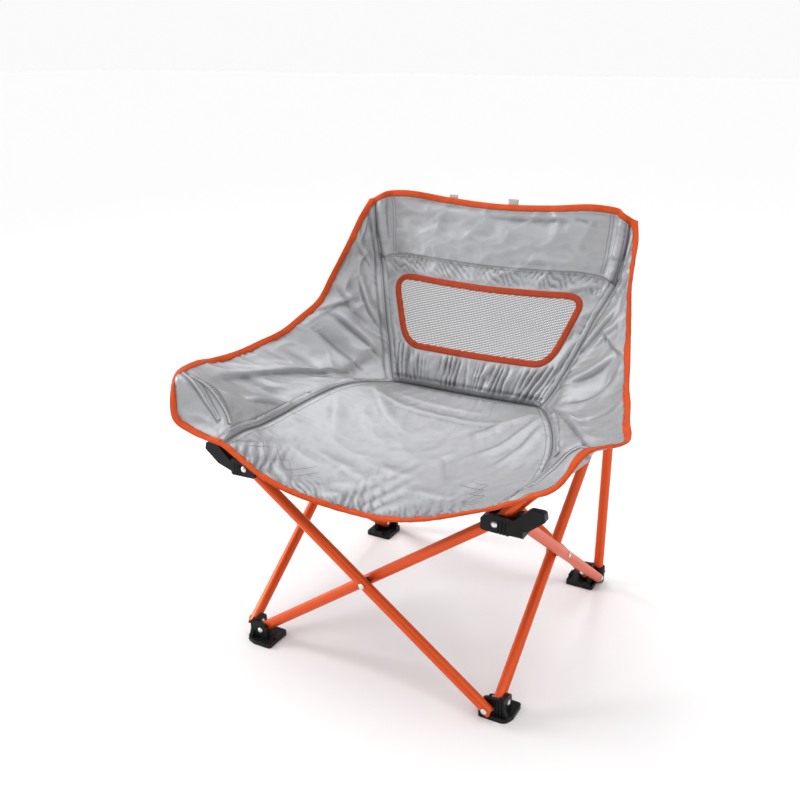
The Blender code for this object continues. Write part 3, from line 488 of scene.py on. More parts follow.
class Panel:
    """A net of points with its flat cut and the height of its folds. out is roughly the
    way its outer face looks."""

    def __init__(self, net, out):
        self.net = net
        self.down, self.across = net.shape[:2]
        rows = [lengths(row) for row in net]
        middle = lengths(net[:, self.across // 2])
        self.cut = np.stack([np.stack(rows), np.repeat(middle[:, None], self.across, 1)], -1)
        self.width = float(np.mean([row[-1] for row in rows]))
        self.length = float(middle[-1])
        share = np.meshgrid(np.linspace(0, 1, self.across), np.linspace(0, 1, self.down))
        self.share = np.stack(share, -1)
        self.flat = self.share * (self.width, self.length)
        self.height = np.zeros((self.down, self.across))
        self.flat_net = net
        slope = np.cross(np.gradient(net, axis=1), np.gradient(net, axis=0))
        slope /= np.maximum(np.linalg.norm(slope, axis=-1, keepdims=True), 1e-12)
        side = np.sign((slope * np.asarray(out, float)).sum(-1).mean())
        self.normal = slope * side

    def spot_near(self, point):
        """The flat place of the net's point nearest to one given from the middle."""
        gap = np.linalg.norm(self.net - place(point), axis=-1)
        return self.flat[np.unravel_index(gap.argmin(), gap.shape)]

    def fold(self, start, end, width, height, bend=0.0):
        """A fold from start to end, steeper on one side, that fades at both ends."""
        start, end = self.spot_near(start), self.spot_near(end)
        run = end - start
        reach = float(np.hypot(*run))
        away = self.flat - start
        t = np.clip((away @ run) / reach ** 2, 0, 1)
        side = (run[0] * away[..., 1] - run[1] * away[..., 0]) / reach
        side = side - bend * 4 * t * (1 - t)
        past = np.maximum(np.abs((away @ run) / reach - t * reach), 0)
        wide = np.where(side > 0, width * 0.5, width * 1.25)
        shape = np.exp(-(side / wide) ** 2 - (past / width) ** 2)
        self.height += height * shape * np.sin(np.pi * np.clip(t, 0.02, 0.98)) ** 0.7

    def pucker(self, along, away, seed, pitch, reach, height, lean=0.0):
        """Small gathers square to a seam, that die away from it."""
        draw = np.random.default_rng(seed)
        slow = sum(np.sin(along * math.tau / (pitch * draw.uniform(2, 6)) + draw.uniform(0, 6))
                   for _ in range(4)) / 2
        phase = (along + lean * away) * math.tau / pitch + 2.2 * slow
        sharp = np.sin(phase)
        sharp = np.sign(sharp) * np.abs(sharp) ** 0.8
        swell = 0.55 + 0.45 * np.sin(along * math.tau / (pitch * 7.3) + seed)
        rise = np.clip(away / (0.35 * reach), 0, 1)
        self.height += height * sharp * swell * rise * np.exp(-np.maximum(away, 0) / reach)

    def crumple(self, seed, size, height):
        """Soft creases in all directions, as a coated cloth keeps from its bag."""
        draw = np.random.default_rng(seed)
        total = np.zeros_like(self.height)
        for _ in range(26):
            turn, step = draw.uniform(0, math.pi), size * draw.uniform(0.6, 2.4)
            phase = self.flat @ (math.cos(turn), math.sin(turn)) * math.tau / step
            bent = 0.8 * np.sin(self.flat @ (math.sin(turn), -math.cos(turn)) * 3.1 / step)
            total += np.sin(phase + bent + draw.uniform(0, 6)) * step
        total /= np.abs(total).max()
        self.height += height * (1 - 2.4 * np.abs(total) ** 0.8)

    def settle(self, edge, seams):
        """Fade the heights to nothing at the four edges, and lift the net by them. Paint shade where
        the cloth bends hollow and along seams; a seam gives its edge, how far from it, how dark and how
        wide."""
        rows = self.cut[:, -1:, 0]
        u, v = self.cut[..., 0], self.share[..., 1] * self.length
        room = {"first": u, "last": rows - u, "top": v, "foot": self.length - v}
        for gap in room.values():
            t = np.clip(gap / edge, 0, 1)
            self.height *= t * t * (3 - 2 * t)
        cell = (self.length / self.down, self.width / self.across)
        # painted shade: the crease values darken the cloth's colour where it bends hollow, and in a line
        # along each seam
        hollow = sum(np.gradient(np.gradient(self.height, axis=k), axis=k) / cell[k] ** 2 for k in (0, 1))
        self.crease = 0.62 * np.clip(hollow / DEEPEST - 0.07, 0, 1)
        for name, distance, painted_shade, wide in seams:
            self.crease += painted_shade * np.exp(-((room[name] - distance) / wide) ** 2)
        self.crease = np.clip(self.crease, 0, 1)[..., None]
        self.net = self.net + self.normal * self.height[..., None]
        slope = np.cross(np.gradient(self.net, axis=1), np.gradient(self.net, axis=0))
        slope /= np.maximum(np.linalg.norm(slope, axis=-1, keepdims=True), 1e-12)
        self.normal = slope * np.sign((slope * self.normal).sum(-1, keepdims=True))

    def read(self, values, shares):
        """Values of the net, read between its points, at shares across and down."""
        shares = np.clip(np.asarray(shares, float), 0, 1)
        x, y = shares[:, 0] * (self.across - 1), shares[:, 1] * (self.down - 1)
        i, j = np.minimum(x.astype(int), self.across - 2), np.minimum(y.astype(int), self.down - 2)
        fx, fy = (x - i)[:, None], (y - j)[:, None]
        return ((values[j, i] * (1 - fx) + values[j, i + 1] * fx) * (1 - fy)
                + (values[j + 1, i] * (1 - fx) + values[j + 1, i + 1] * fx) * fy)

    def line(self, shares, step=0.002):
        """Even places and normals along a line of shares on the finished cloth."""
        shares = np.asarray(shares, float)
        turns = np.linspace(0, len(shares) - 1, 60 * len(shares))
        fine = np.column_stack([np.interp(turns, range(len(shares)), shares[:, k]) for k in (0, 1)])
        points = self.read(self.net, fine)
        reach = lengths(points)
        at = np.linspace(0, reach[-1], max(3, int(reach[-1] / step)))
        spread = [np.column_stack([np.interp(at, reach, values[:, k]) for k in range(3)])
                  for values in (points, self.read(self.normal, fine))]
        return spread[0], spread[1]

    def beside(self, edge, distance, start=0.0, stop=1.0, count=60):
        """Shares of a line that runs at a distance from one edge."""
        t = np.linspace(start, stop, count)
        if edge in ("first", "last"):
            room = np.interp(t, np.linspace(0, 1, self.down), self.cut[:, -1, 0])
        else:
            columns = [lengths(self.net[:, j])[-1] for j in range(self.across)]
            room = np.interp(t, np.linspace(0, 1, self.across), columns)
        share = np.minimum(distance / room, 0.5)
        if edge in ("last", "foot"):
            share = 1 - share
        return np.column_stack([share, t] if edge in ("first", "last") else [t, share])

# %% [markdown]
# A net becomes a mesh through Blender's own grid, whose points are then put in place. The
# flat cut goes into a UV map, and Solidify gives the cloth its two faces.

# %% Cloth meshes
def finished_object(name, mesh, finish):
    """An object with a smooth mesh and one finish."""
    mesh.materials.append(finish.material)
    for face in mesh.polygons:
        face.use_smooth = True
    item = bpy.data.objects.new(name, mesh)
    bpy.context.scene.collection.objects.link(item)
    return item


def grid_mesh(name, net, cut, crease=None, keep=None, closed=""):
    """A mesh over a net. keep says which cells stay. A closed net meets itself across,
    and gets a cap at its tip, or at both ends."""
    down, across = net.shape[:2]
    bm = bmesh.new()
    layer = bm.loops.layers.uv.new("cut")
    # painted shade: each point carries, as the crease attribute, the darkening that the cloth's finish
    # paints into its colour
    painted_shade = bm.verts.layers.float.new("crease")
    bmesh.ops.create_grid(bm, x_segments=across - 1, y_segments=down - 1, size=0.5)
    spots = {}
    for vert in bm.verts:
        column = round((vert.co.x + 0.5) * (across - 1))
        row = round((vert.co.y + 0.5) * (down - 1))
        spots[vert] = (row, column)
    for vert, spot in spots.items():
        vert.co = net[spot]
        vert[painted_shade] = 0.0 if crease is None else float(crease[spot][0])
    for face in bm.faces:
        for loop in face.loops:
            loop[layer].uv = cut[spots[loop.vert]]
    if keep is not None:
        gone = [face for face in bm.faces if not keep[min(spots[v] for v in face.verts)]]
        bmesh.ops.delete(bm, geom=gone, context="FACES")
    if closed:
        mouth = {vert for vert, (row, _) in spots.items() if row == 0}
        bmesh.ops.remove_doubles(bm, verts=bm.verts, dist=1e-6)
        rims = [edge for edge in bm.edges if edge.is_boundary]
        if closed == "tip":
            rims = [edge for edge in rims if not mouth.intersection(edge.verts)]
        bmesh.ops.holes_fill(bm, edges=rims, sides=0)
        bmesh.ops.recalc_face_normals(bm, faces=bm.faces)
    mesh = bpy.data.meshes.new(name)
    bm.to_mesh(mesh)
    bm.free()
    return mesh


def thicken(item, thick):
    """Give a single sheet of faces its two sides."""
    wall = item.modifiers.new("thickness", "SOLIDIFY")
    wall.thickness = thick
    wall.offset = 0
    return item


CLOTH_THICK = 0.0008
KNIT_THICK = 0.0003


def cloth_piece(name, panel, finish, thick, keep=None):
    """One piece of cloth over a panel, or over the cells of it that stay."""
    mesh = grid_mesh(name, panel.net, panel.cut, panel.crease, keep)
    return thicken(finished_object(name, mesh, finish), thick)


print("cloth", round(CLOTH_THICK * 1000, 1), "mm thick, mesh", round(KNIT_THICK * 1000, 1), "mm")

# %% [markdown]
# Edge tape is folded over the raw edge and sewn down, so it is a flat bar with the cloth
# inside it, a little wavy where the thread pulls it in. A bevelled curve would roll over at
# the corners. A bar built on the cloth's own normals lies flat all the way round.

# %% Flat bars
TAPE_WIDTH = 0.0105
TAPE_THICK = 0.0034
OVERHANG = 0.0008           # how far tape stands past the raw edge
EDGE_WAVE = 0.0008          # and how far the thread pulls its inner side in and out


def strap(name, points, inward, normal, finish, width, thick, wave, seed, shade=0.0):
    """A flat bar along points, from its edge at the points inward by its width. shade
    is how much painted shade darkens its colour, as for a bar that lies deep in a crease."""
    count = len(points)
    run = lengths(points)
    draw = np.random.default_rng(seed)
    ripple = sum(np.sin(run * math.tau / draw.uniform(0.006, 0.03) + draw.uniform(0, 6))
                 for _ in range(5)) / 5
    half = thick / 2
    shape = [(1.0, 0.55), (0.93, 1.0), (0.5, 1.1), (0.10, 1.0), (0.0, 0.5), (-0.02, 0.0),
             (0.0, -0.5), (0.10, -1.0), (0.5, -1.1), (0.93, -1.0), (1.0, -0.55), (1.0, 0.55)]
    net = np.zeros((count, len(shape), 3))
    cut = np.zeros((count, len(shape), 2))
    for k, (share, side) in enumerate(shape):
        reach = share * width + wave * ripple * (share > 0.4)
        lift = side * half * (1 + 0.18 * ripple)
        net[:, k] = points + inward * np.reshape(reach, (-1, 1)) + normal * np.reshape(lift, (-1, 1))
        cut[:, k] = np.column_stack([np.full(count, k * width / 5), run])
    # painted shade: the same darkening for every point of the bar
    painted_shade = np.full((count, len(shape), 1), shade)
    return finished_object(name, grid_mesh(name, net, cut, painted_shade, closed="both"), finish)


def matched(line, count):
    """A line of places again, with another number of points."""
    at = np.linspace(0, len(line) - 1, count)
    return np.column_stack([np.interp(at, range(len(line)), line[:, k]) for k in range(3)])


def edge_tape(name, panel, outer, inner, finish, width, thick, outwards, seed, shade=0.0):
    """Tape over a panel's edge, between shares on the edge and shares inside it."""
    points, normal = panel.line(outer)
    inward = matched(panel.line(inner)[0], len(points)) - points
    ahead = np.gradient(points, axis=0)
    ahead /= np.linalg.norm(ahead, axis=1, keepdims=True)
    inward -= (inward * ahead).sum(1, keepdims=True) * ahead
    inward /= np.linalg.norm(inward, axis=1, keepdims=True)
    points = points - inward * outwards
    return strap(name, points, inward, normal, finish, width, thick, EDGE_WAVE, seed, shade)


print("tape", round(TAPE_WIDTH * 1000, 1), "mm wide")

# %% [markdown]
# A stitch is a little bead of thread. There are thousands, so one bead of a few faces is
# made and its points are repeated along each row, all rows of a piece in one mesh.

# %% Stitches
def stitch_shape():
    """One short stitch: a flattened bead of a few faces, 1 long."""
    bm = bmesh.new()
    bmesh.ops.create_uvsphere(bm, u_segments=6, v_segments=4, radius=0.5)
    bmesh.ops.rotate(bm, verts=bm.verts, matrix=Matrix.Rotation(math.pi / 2, 3, "Y"))
    bmesh.ops.scale(bm, verts=bm.verts, vec=(1.0, 0.34, 0.30))
    mesh = bpy.data.meshes.new("one_stitch")
    bm.to_mesh(mesh)
    bm.free()
    points = np.array([vert.co for vert in mesh.vertices])
    faces = [tuple(face.vertices) for face in mesh.polygons]
    bpy.data.meshes.remove(mesh)
    return points, faces


STITCH = stitch_shape()
STITCH_STEP = 0.0038
STITCH_LONG = 0.0028
ON_CLOTH, ON_TAPE = 0.00055, 0.0019     # how far a stitch's middle is from the cloth's own


def stitching(name, lines, lift=ON_CLOTH):
    """Rows of stitches along lines of points and normals, as one mesh."""
    shape, faces = STITCH
    points, polygons = [], []
    for line, normal in lines:
        reach = lengths(line)
        at = np.arange(STITCH_STEP, reach[-1], STITCH_STEP)
        here = np.column_stack([np.interp(at, reach, line[:, k]) for k in range(3)])
        up = np.column_stack([np.interp(at, reach, normal[:, k]) for k in range(3)])
        slope = np.gradient(line, axis=0)
        ahead = np.column_stack([np.interp(at, reach, slope[:, k]) for k in range(3)])
        ahead /= np.linalg.norm(ahead, axis=1, keepdims=True)
        up -= (up * ahead).sum(1, keepdims=True) * ahead
        up /= np.linalg.norm(up, axis=1, keepdims=True)
        side = np.cross(up, ahead)
        for spot, a, b, c in zip(here, ahead, side, up):
            polygons += [tuple(index + len(points) * len(shape) for index in face) for face in faces]
            bead = shape[:, :1] * a + shape[:, 1:2] * b + shape[:, 2:] * c
            points.append(spot + c * lift + bead * STITCH_LONG)
    mesh = bpy.data.meshes.new(name)
    mesh.from_pydata(np.vstack(points).tolist(), [], polygons)
    return finished_object(name, mesh, sewing)


def two_faced(lines):
    """The same rows again on the cloth's other face."""
    return list(lines) + [(line, -normal) for line, normal in lines]


print("a stitch has", len(STITCH[1]), "faces")

# %% [markdown]
# ## The seam lines
# Three curves say how the sling goes together: the crease where seat meets back, the side
# seam from there to the front corner, and the rise where the back meets a wing. Panels
# that share a seam are drawn from the same curve, so they meet exactly.

# %% Seam lines, right half
CREASE = [(0, 0.118, 0.332), (0.050, 0.1188, 0.332), (0.095, 0.117, 0.333),
          (0.118, 0.111, 0.335), (0.128, 0.103, 0.338)]
SIDE = [(0.128, 0.103, 0.338), (0.143, 0.083, 0.341), (0.160, 0.047, 0.349),
        (0.178, 0.014, 0.349), (0.194, -0.020, 0.343), (0.206, -0.059, 0.336),
        (0.213, -0.102, 0.331), (0.217, -0.148, 0.330), (0.216, -0.190, 0.336),
        (0.206, -0.254, 0.341)]
RISE = [(0.128, 0.103, 0.338), (0.140, 0.116, 0.356), (0.154, 0.135, 0.389),
        (0.169, 0.152, 0.426), (0.185, 0.172, 0.472), (0.197, 0.188, 0.500),
        (0.2075, 0.2000, 0.527), (0.2160, 0.2015, 0.578), (0.2190, 0.2025, 0.620)]


def on_spline(points, turns):
    """Places on the smooth line through points, by how many of the points are passed."""
    points = np.asarray(points, float)
    ends = np.vstack([2 * points[0] - points[1], points, 2 * points[-1] - points[-2]])
    turns = np.clip(np.atleast_1d(turns), 0, len(points) - 1)
    i = np.minimum(turns.astype(int), len(points) - 2)
    t = (turns - i)[:, None]
    p0, p1, p2, p3 = ends[i], ends[i + 1], ends[i + 2], ends[i + 3]
    return 0.5 * (2 * p1 + (p2 - p0) * t + (2 * p0 - 5 * p1 + 4 * p2 - p3) * t ** 2
                  + (3 * p1 - p0 - 3 * p2 + p3) * t ** 3)


def dished(seam, middle):
    """A line across the chair that dips from the seams to the middle."""
    (x, y, z), (_, mid_y, mid_z) = seam, middle
    quarter = (x / 2, mid_y + (y - mid_y) / 4, mid_z + (z - mid_z) / 4)
    return both_sides([middle, quarter, seam])


for name, seam in (("crease", CREASE), ("side", SIDE), ("rise", RISE)):
    print(name, "seam", round(float(lengths(curve(seam, 200))[-1]), 3), "m")

# %% [markdown]
# ## Seat
# The seat is one D-shaped panel that hangs in a shallow dish. It is gathered along its
# front edge and pulled into rays at its back corners, and a soft fold lies across it. The
# broad folds are drawn one by one. The small gathers are waves that die away from a seam,
# because there are too many of them to place.

# %% The seat's net and folds
seat_middle = [(0, 0.088, 0.322), (0, 0.050, 0.312), (0, 0.014, 0.304), (0, -0.022, 0.299),
               (0, -0.062, 0.295), (0, -0.104, 0.291), (0, -0.148, 0.287), (0, -0.192, 0.283)]
seat_rows = [both_sides(CREASE)]
seat_rows += [dished(seam, middle) for seam, middle in zip(SIDE[1:-1], seat_middle)]
seat_rows.append(both_sides([(0, -0.241, 0.278), (0.104, -0.268, 0.306), SIDE[-1]]))
seat = Panel(place(net_over(seat_rows, 146, 170)), (0, 0, 1))

u, v = seat.flat[..., 0], seat.flat[..., 1]
from_side = np.minimum(u, seat.width - u)
from_front = seat.length - v
seat.crumple(3, 0.055, 0.0008)
seat.crumple(11, 0.024, 0.0004)
seat.pucker(u, from_front, 5, 0.017, 0.034, 0.0044, 0.55)
seat.pucker(u, from_front, 8, 0.031, 0.060, 0.0030, -0.4)
seat.pucker(u, from_front, 9, 0.0095, 0.024, 0.0020, 0.8)
seat.pucker(v, from_side, 6, 0.012, 0.014, 0.0009, 0.3)
seat.pucker(u, v, 7, 0.028, 0.022, 0.0011)
seat.fold((-0.140, 0.046, 0.335), (0.140, 0.040, 0.330), 0.007, 0.0038)
seat.fold((-0.110, 0.074, 0.330), (0.060, 0.070, 0.330), 0.007, 0.0018)
seat.fold((0.140, 0.062, 0.340), (0.050, 0.010, 0.305), 0.009, 0.0042, bend=0.006)
seat.fold((0.150, 0.045, 0.345), (0.085, -0.045, 0.300), 0.010, 0.0046, bend=-0.005)
seat.fold((0.166, 0.020, 0.345), (0.130, -0.080, 0.305), 0.009, 0.0034)
seat.fold((-0.140, 0.060, 0.340), (-0.060, 0.000, 0.305), 0.010, 0.0030, bend=0.004)
seat.fold((-0.176, 0.000, 0.345), (-0.120, -0.090, 0.305), 0.012, 0.0026)
seat.fold((0.040, -0.050, 0.300), (0.075, -0.120, 0.300), 0.012, -0.0030)
seat.fold((-0.060, -0.110, 0.290), (0.030, -0.130, 0.290), 0.012, 0.0026, bend=0.008)
seat.fold((-0.130, -0.130, 0.310), (-0.020, -0.170, 0.290), 0.010, 0.0030, bend=-0.006)
seat.fold((0.020, -0.160, 0.290), (0.120, -0.170, 0.300), 0.010, 0.0028)
# painted shade lines along the seat's sides, its back seam and under its front tape
seat.settle(0.010, (("first", 0, 1, 0.0032), ("last", 0, 1, 0.0032), ("top", 0, 1.2, 0.0070),
                    ("foot", 0.012, 0.3, 0.002)))
print("seat cut", round(seat.width, 3), "x", round(seat.length, 3))

# %% [markdown]
# ## Back
# The back runs up from the crease and over the front of both uprights. Its upper part is
# double, down to a hem, and holds the two sleeves that the uprights push into. Below the
# hem it is gathered round the window.

# %% The back's net
back_middle = [(0, 0.127, 0.356), (0, 0.141, 0.389), (0, 0.156, 0.426), (0, 0.172, 0.472)]
back_rows = [both_sides(CREASE)]
back_rows += [dished(seam, middle) for seam, middle in zip(RISE[1:5], back_middle)]
back_rows.append(both_sides([(0, 0.183, 0.500), (0.100, 0.1845, 0.500), (0.176, 0.1880, 0.500),
                             RISE[5]]))
back_rows.append(both_sides([(0, 0.194, 0.527), (0.100, 0.1950, 0.527), (0.182, 0.2005, 0.527),
                             (0.1960, 0.1965, 0.527), RISE[6]]))
back_rows.append(both_sides([(0, 0.208, 0.578), (0.100, 0.2085, 0.578), (0.188, 0.2110, 0.578),
                             (0.1990, 0.2010, 0.578), (0.2098, 0.1980, 0.578), RISE[7]]))
back_rows.append(both_sides([(0, 0.222, 0.622), (0.085, 0.222, 0.626), (0.152, 0.2130, 0.634),
                             (0.194, 0.2110, 0.632), (0.2050, 0.2015, 0.628), RISE[8]]))
back = Panel(place(net_over(back_rows, 128, 180)), (0, -1, 0))
print("back", round(back.length, 3), "m high along the cloth")

# %% [markdown]
# ## The window
# A slanting four-sided opening in the back with well rounded corners. Its outline is drawn
# flat, on the cut of the back, so that hole, mesh and tape all follow one line. The hole
# could be cut by a boolean, but leaving cells out of the net keeps the map of the cut whole.

# %% The window's outline
CORNER_STEPS = 10           # points round each corner


def rounded_outline(corners, radius):
    """A closed outline with rounded corners, as flat points."""
    outline = []
    for before, here, after in zip([corners[-1]] + corners, corners, corners[1:] + corners[:1]):
        a, b = np.subtract(before, here), np.subtract(after, here)
        a, b = a / np.linalg.norm(a) * radius, b / np.linalg.norm(b) * radius
        for t in np.linspace(0, 1, CORNER_STEPS):
            outline.append(here + a * (1 - t) ** 2 + b * t ** 2)
    return np.array(outline)


window_corners = [back.spot_near(point) for point in (
    (-0.168, 0.174, 0.501), (0.164, 0.174, 0.501), (0.124, 0.140, 0.392), (-0.126, 0.140, 0.392))]
window = rounded_outline(window_corners, 0.030)
print("window", round(float(np.ptp(window[:, 0])), 3), "m wide")

# %% What lies inside the window's outline
def inside(points, outline):
    """Which flat points are inside an outline: how often a line out of each crosses it."""
    crossings = np.zeros(points.shape[:-1], int)
    x, y = points[..., 0], points[..., 1]
    for (x1, y1), (x2, y2) in zip(outline, np.roll(outline, -1, axis=0)):
        spans = (y1 > y) != (y2 > y)
        at = x1 + (y - y1) * (x2 - x1) / (y2 - y1 if y2 != y1 else 1e-9)
        crossings += spans & (x < at)
    return crossings % 2 == 1


def moved_in(outline, step):
    """The outline again, each point moved towards the middle by step."""
    ahead = np.roll(outline, -1, axis=0) - np.roll(outline, 1, axis=0)
    ahead /= np.maximum(np.linalg.norm(ahead, axis=1, keepdims=True), 1e-12)
    side = np.column_stack([-ahead[:, 1], ahead[:, 0]])
    inwards = np.sign((side * (outline.mean(0) - outline)).sum(1, keepdims=True))
    return outline + side * inwards * step


FAR = 9.0                   # metres, out of reach of any gather


def gap_to(points, outline):
    """How far flat points are from a closed outline."""
    nearest = np.full(points.shape[:-1], FAR)
    for start, end in zip(outline, np.roll(outline, -1, axis=0)):
        run = end - start
        t = np.clip(((points - start) @ run) / max(run @ run, 1e-12), 0, 1)
        nearest = np.minimum(nearest, np.linalg.norm(points - start - t[..., None] * run, axis=-1))
    return nearest


opening = inside(back.flat, moved_in(window, 0.003))
mesh_area = inside(back.flat, moved_in(window, -0.003))
from_window = np.where(inside(back.flat, window), 0.0, gap_to(back.flat, window))
print("cells of the opening:", int(opening.sum()), "and of the mesh:", int(mesh_area.sum()))

# %% [markdown]
# The double upper part of the back is the thicker one and keeps a few long soft folds. The
# single cloth gathers more: under the hem, over and under the window, and at the crease. The
# heights fade out beside the window, so that its tape lies flat.

# %% The folds of the back
u, v = back.flat[..., 0], back.flat[..., 1]
hem = back.spot_near((0, 0.194, 0.527))[1]
sill = back.spot_near((0, 0.144, 0.396))[1]
lintel = back.spot_near((0, 0.181, 0.497))[1]
from_side = np.minimum(u, back.width - u)
below_hem = np.clip((hem - v) / 0.006, 0, 1)
back.crumple(21, 0.050, 0.0014)
back.crumple(22, 0.022, 0.0006)
clear = np.maximum(from_window - 0.006, 0)
over_window = (v > lintel + 0.004) & (v < hem)
back.pucker(u, np.where(over_window, clear, FAR), 23, 0.011, 0.020, 0.0026, 0.9)
back.pucker(u, np.where(v < sill - 0.004, clear, FAR), 24, 0.013, 0.050, 0.0046, 0.25)
back.pucker(u, v, 26, 0.018, 0.034, 0.0040)
back.pucker(u, np.maximum(hem - v, 0) + FAR * (v > hem), 27, 0.009, 0.009, 0.0012, 0.5)
back.pucker(v, from_side, 25, 0.013, 0.014, 0.0012, 0.4)
back.height += 0.0010 * (1 - below_hem)
back.fold((-0.060, 0.2150, 0.604), (0.160, 0.2120, 0.608), 0.008, -0.0040)
back.fold((-0.150, 0.2170, 0.612), (0.020, 0.2170, 0.598), 0.010, 0.0030)
back.fold((0.090, 0.2170, 0.616), (0.165, 0.2110, 0.596), 0.007, 0.0030)
back.fold((0.165, 0.2080, 0.545), (0.030, 0.1980, 0.540), 0.008, 0.0016)
back.fold((-0.180, 0.1990, 0.520), (-0.110, 0.1830, 0.500), 0.006, 0.0028)
back.fold((0.190, 0.1960, 0.515), (0.120, 0.1840, 0.500), 0.006, 0.0028)
back.fold((0.160, 0.1500, 0.440), (0.128, 0.1180, 0.370), 0.008, 0.0030)
back.fold((-0.160, 0.1500, 0.440), (-0.128, 0.1180, 0.370), 0.008, 0.0030)
back.height *= np.clip((from_window - 0.0045) / 0.006, 0, 1)
# painted shade lines along the back's sides, beside the crease, under the top tape and along the hem
back.settle(0.010, (("first", 0, 0.8, 0.0024), ("last", 0, 0.8, 0.0024),
                    ("first", 0.008, 0.4, 0.002), ("last", 0.008, 0.4, 0.002),
                    ("top", 0.013, 0.8, 0.003), ("foot", 0.012, 0.3, 0.002),
                    ("foot", back.length - hem, 0.6, 0.002)))
print("back cut", round(back.width, 3), "x", round(back.length, 3))

# %% [markdown]
# ## Wings
# Each wing runs from the top corner, down beside the back and round over the front post,
# to the front corner. Its outer edge is bound; its inner edge is the rise and side seam.
# Long folds stretch from the post's tip to the back corner, where the sling is pulled. One
# pattern serves both wings, mirrored, and each then gets crumples of its own.

# %% A wing's net
WING_EDGE = [(0.2285, 0.2015, 0.6170), (0.2365, 0.1820, 0.5920), (0.2385, 0.1680, 0.5760),
             (0.2410, 0.1530, 0.5570), (0.2450, 0.1330, 0.5330), (0.2540, 0.1100, 0.4990),
             (0.2630, 0.0860, 0.4650), (0.2750, 0.0480, 0.4440), (0.2860, 0.0100, 0.4270),
             (0.3000, -0.0300, 0.4180), (0.3120, -0.0730, 0.4110), (0.3260, -0.1150, 0.4090),
             (0.3290, -0.1550, 0.4140), (0.3060, -0.2190, 0.4210), (0.2810, -0.2490, 0.3830),
             (0.2460, -0.2520, 0.3620), (0.2060, -0.2540, 0.3410)]
UP_RISE = [8, 7.5, 7, 6.5, 6, 5, 4, 3, 1.8, 0]      # which point of the rise each line meets
ALONG_SIDE = [0, 2, 3.5, 5, 6.1, 7.2, 8.2, 9]       # and of the side seam, from the corner
WING_STOP = 15.94           # a wing ends just short of the last point of its edge
POST_LEAN = math.radians(47)
POST_PIN = (0.189, 0.296)   # the hub pin that a post turns on, sideways and up
POST_REACH = 0.1043         # from there out to the post's tip
POST_PLANE = {1: -0.1968, -1: -0.2152}
RIDGE = 0.0116              # cloth above the middle of its post
# the left wing hangs lower in front, so three points of its edge are moved
LEFT_SAG = {13: (0.002, -0.004, -0.006), 14: (0.010, -0.004, -0.016), 15: (0.008, -0.004, -0.013)}


def wing_net(hand):
    """The net of one wing; hand is 1 for the right and -1 for the left."""
    outer = np.array(WING_EDGE)
    for index, shift in (LEFT_SAG.items() if hand < 0 else ()):
        outer[index] += shift
    turns = np.linspace(0, WING_STOP, 120)
    corner = len(UP_RISE) - 1
    rise = on_spline(RISE, np.interp(turns, range(corner + 1), UP_RISE))
    side = on_spline(SIDE, np.interp(turns - corner, range(len(ALONG_SIDE)), ALONG_SIDE))
    seam = np.where((turns <= corner)[:, None], rise, side)
    stations = np.arange(len(WING_EDGE))
    seam_there = np.column_stack([np.interp(stations, turns, seam[:, k]) for k in range(3)])
    middle = (outer + seam_there) / 2
    # the cloth sags between its edges, but three of its lines lie over the post
    middle[:, 2] -= 0.07 * np.linalg.norm(outer - seam_there, axis=1)
    for index, share in ((13, 0.90), (14, 0.63), (15, 0.36)):
        height = POST_REACH * share * math.tan(POST_LEAN) + RIDGE / math.cos(POST_LEAN)
        middle[index] = (POST_PIN[0] + POST_REACH * share, POST_PLANE[hand], POST_PIN[1] + height)
    middle[16] = outer[16]
    edge, middle = on_spline(outer, turns), on_spline(middle, turns)
    rows = [np.array(row) for row in zip(edge, middle, seam)]
    return place(net_over(rows, 250, 84) * (hand, 1, 1))


print("a wing's edge", round(float(lengths(curve(WING_EDGE, 400))[-1]), 3), "m")

# %% The folds of both wings
POCKET_BAND = 0.0066        # how wide the band beside a post pocket is
POCKET_LINES = (((0.254, -0.206, 0.340), (0.317, -0.206, 0.398)),
                ((0.224, -0.206, 0.355), (0.287, -0.206, 0.420)))
WING_FOLDS = [
    ((0.285, -0.165, 0.415), (0.170, 0.115, 0.400), 0.016, 0.0080, 0.014),
    ((0.232, 0.085, 0.455), (0.148, 0.112, 0.380), 0.010, 0.0075, 0.006),
    ((0.240, 0.050, 0.430), (0.160, 0.075, 0.365), 0.011, -0.0060, 0.004),
    ((0.215, 0.150, 0.500), (0.160, 0.140, 0.410), 0.009, 0.0066, -0.004),
    ((0.232, 0.160, 0.560), (0.205, 0.180, 0.500), 0.009, 0.0040, 0.004),
    ((0.240, 0.118, 0.500), (0.180, 0.130, 0.425), 0.012, 0.0056, -0.006),
    ((0.270, 0.000, 0.410), (0.190, 0.030, 0.360), 0.013, 0.0046, 0.006),
    ((0.285, -0.090, 0.395), (0.215, -0.060, 0.345), 0.014, 0.0040, -0.006),
    ((0.245, -0.150, 0.365), (0.222, -0.080, 0.345), 0.010, 0.0036, 0.004),
    ((0.262, 0.070, 0.455), (0.205, 0.135, 0.470), 0.010, 0.0044, 0.003),
]
WING_DEPTH = 1.15           # all of them, deepened together
HANDS = {"right": 1, "left": -1}


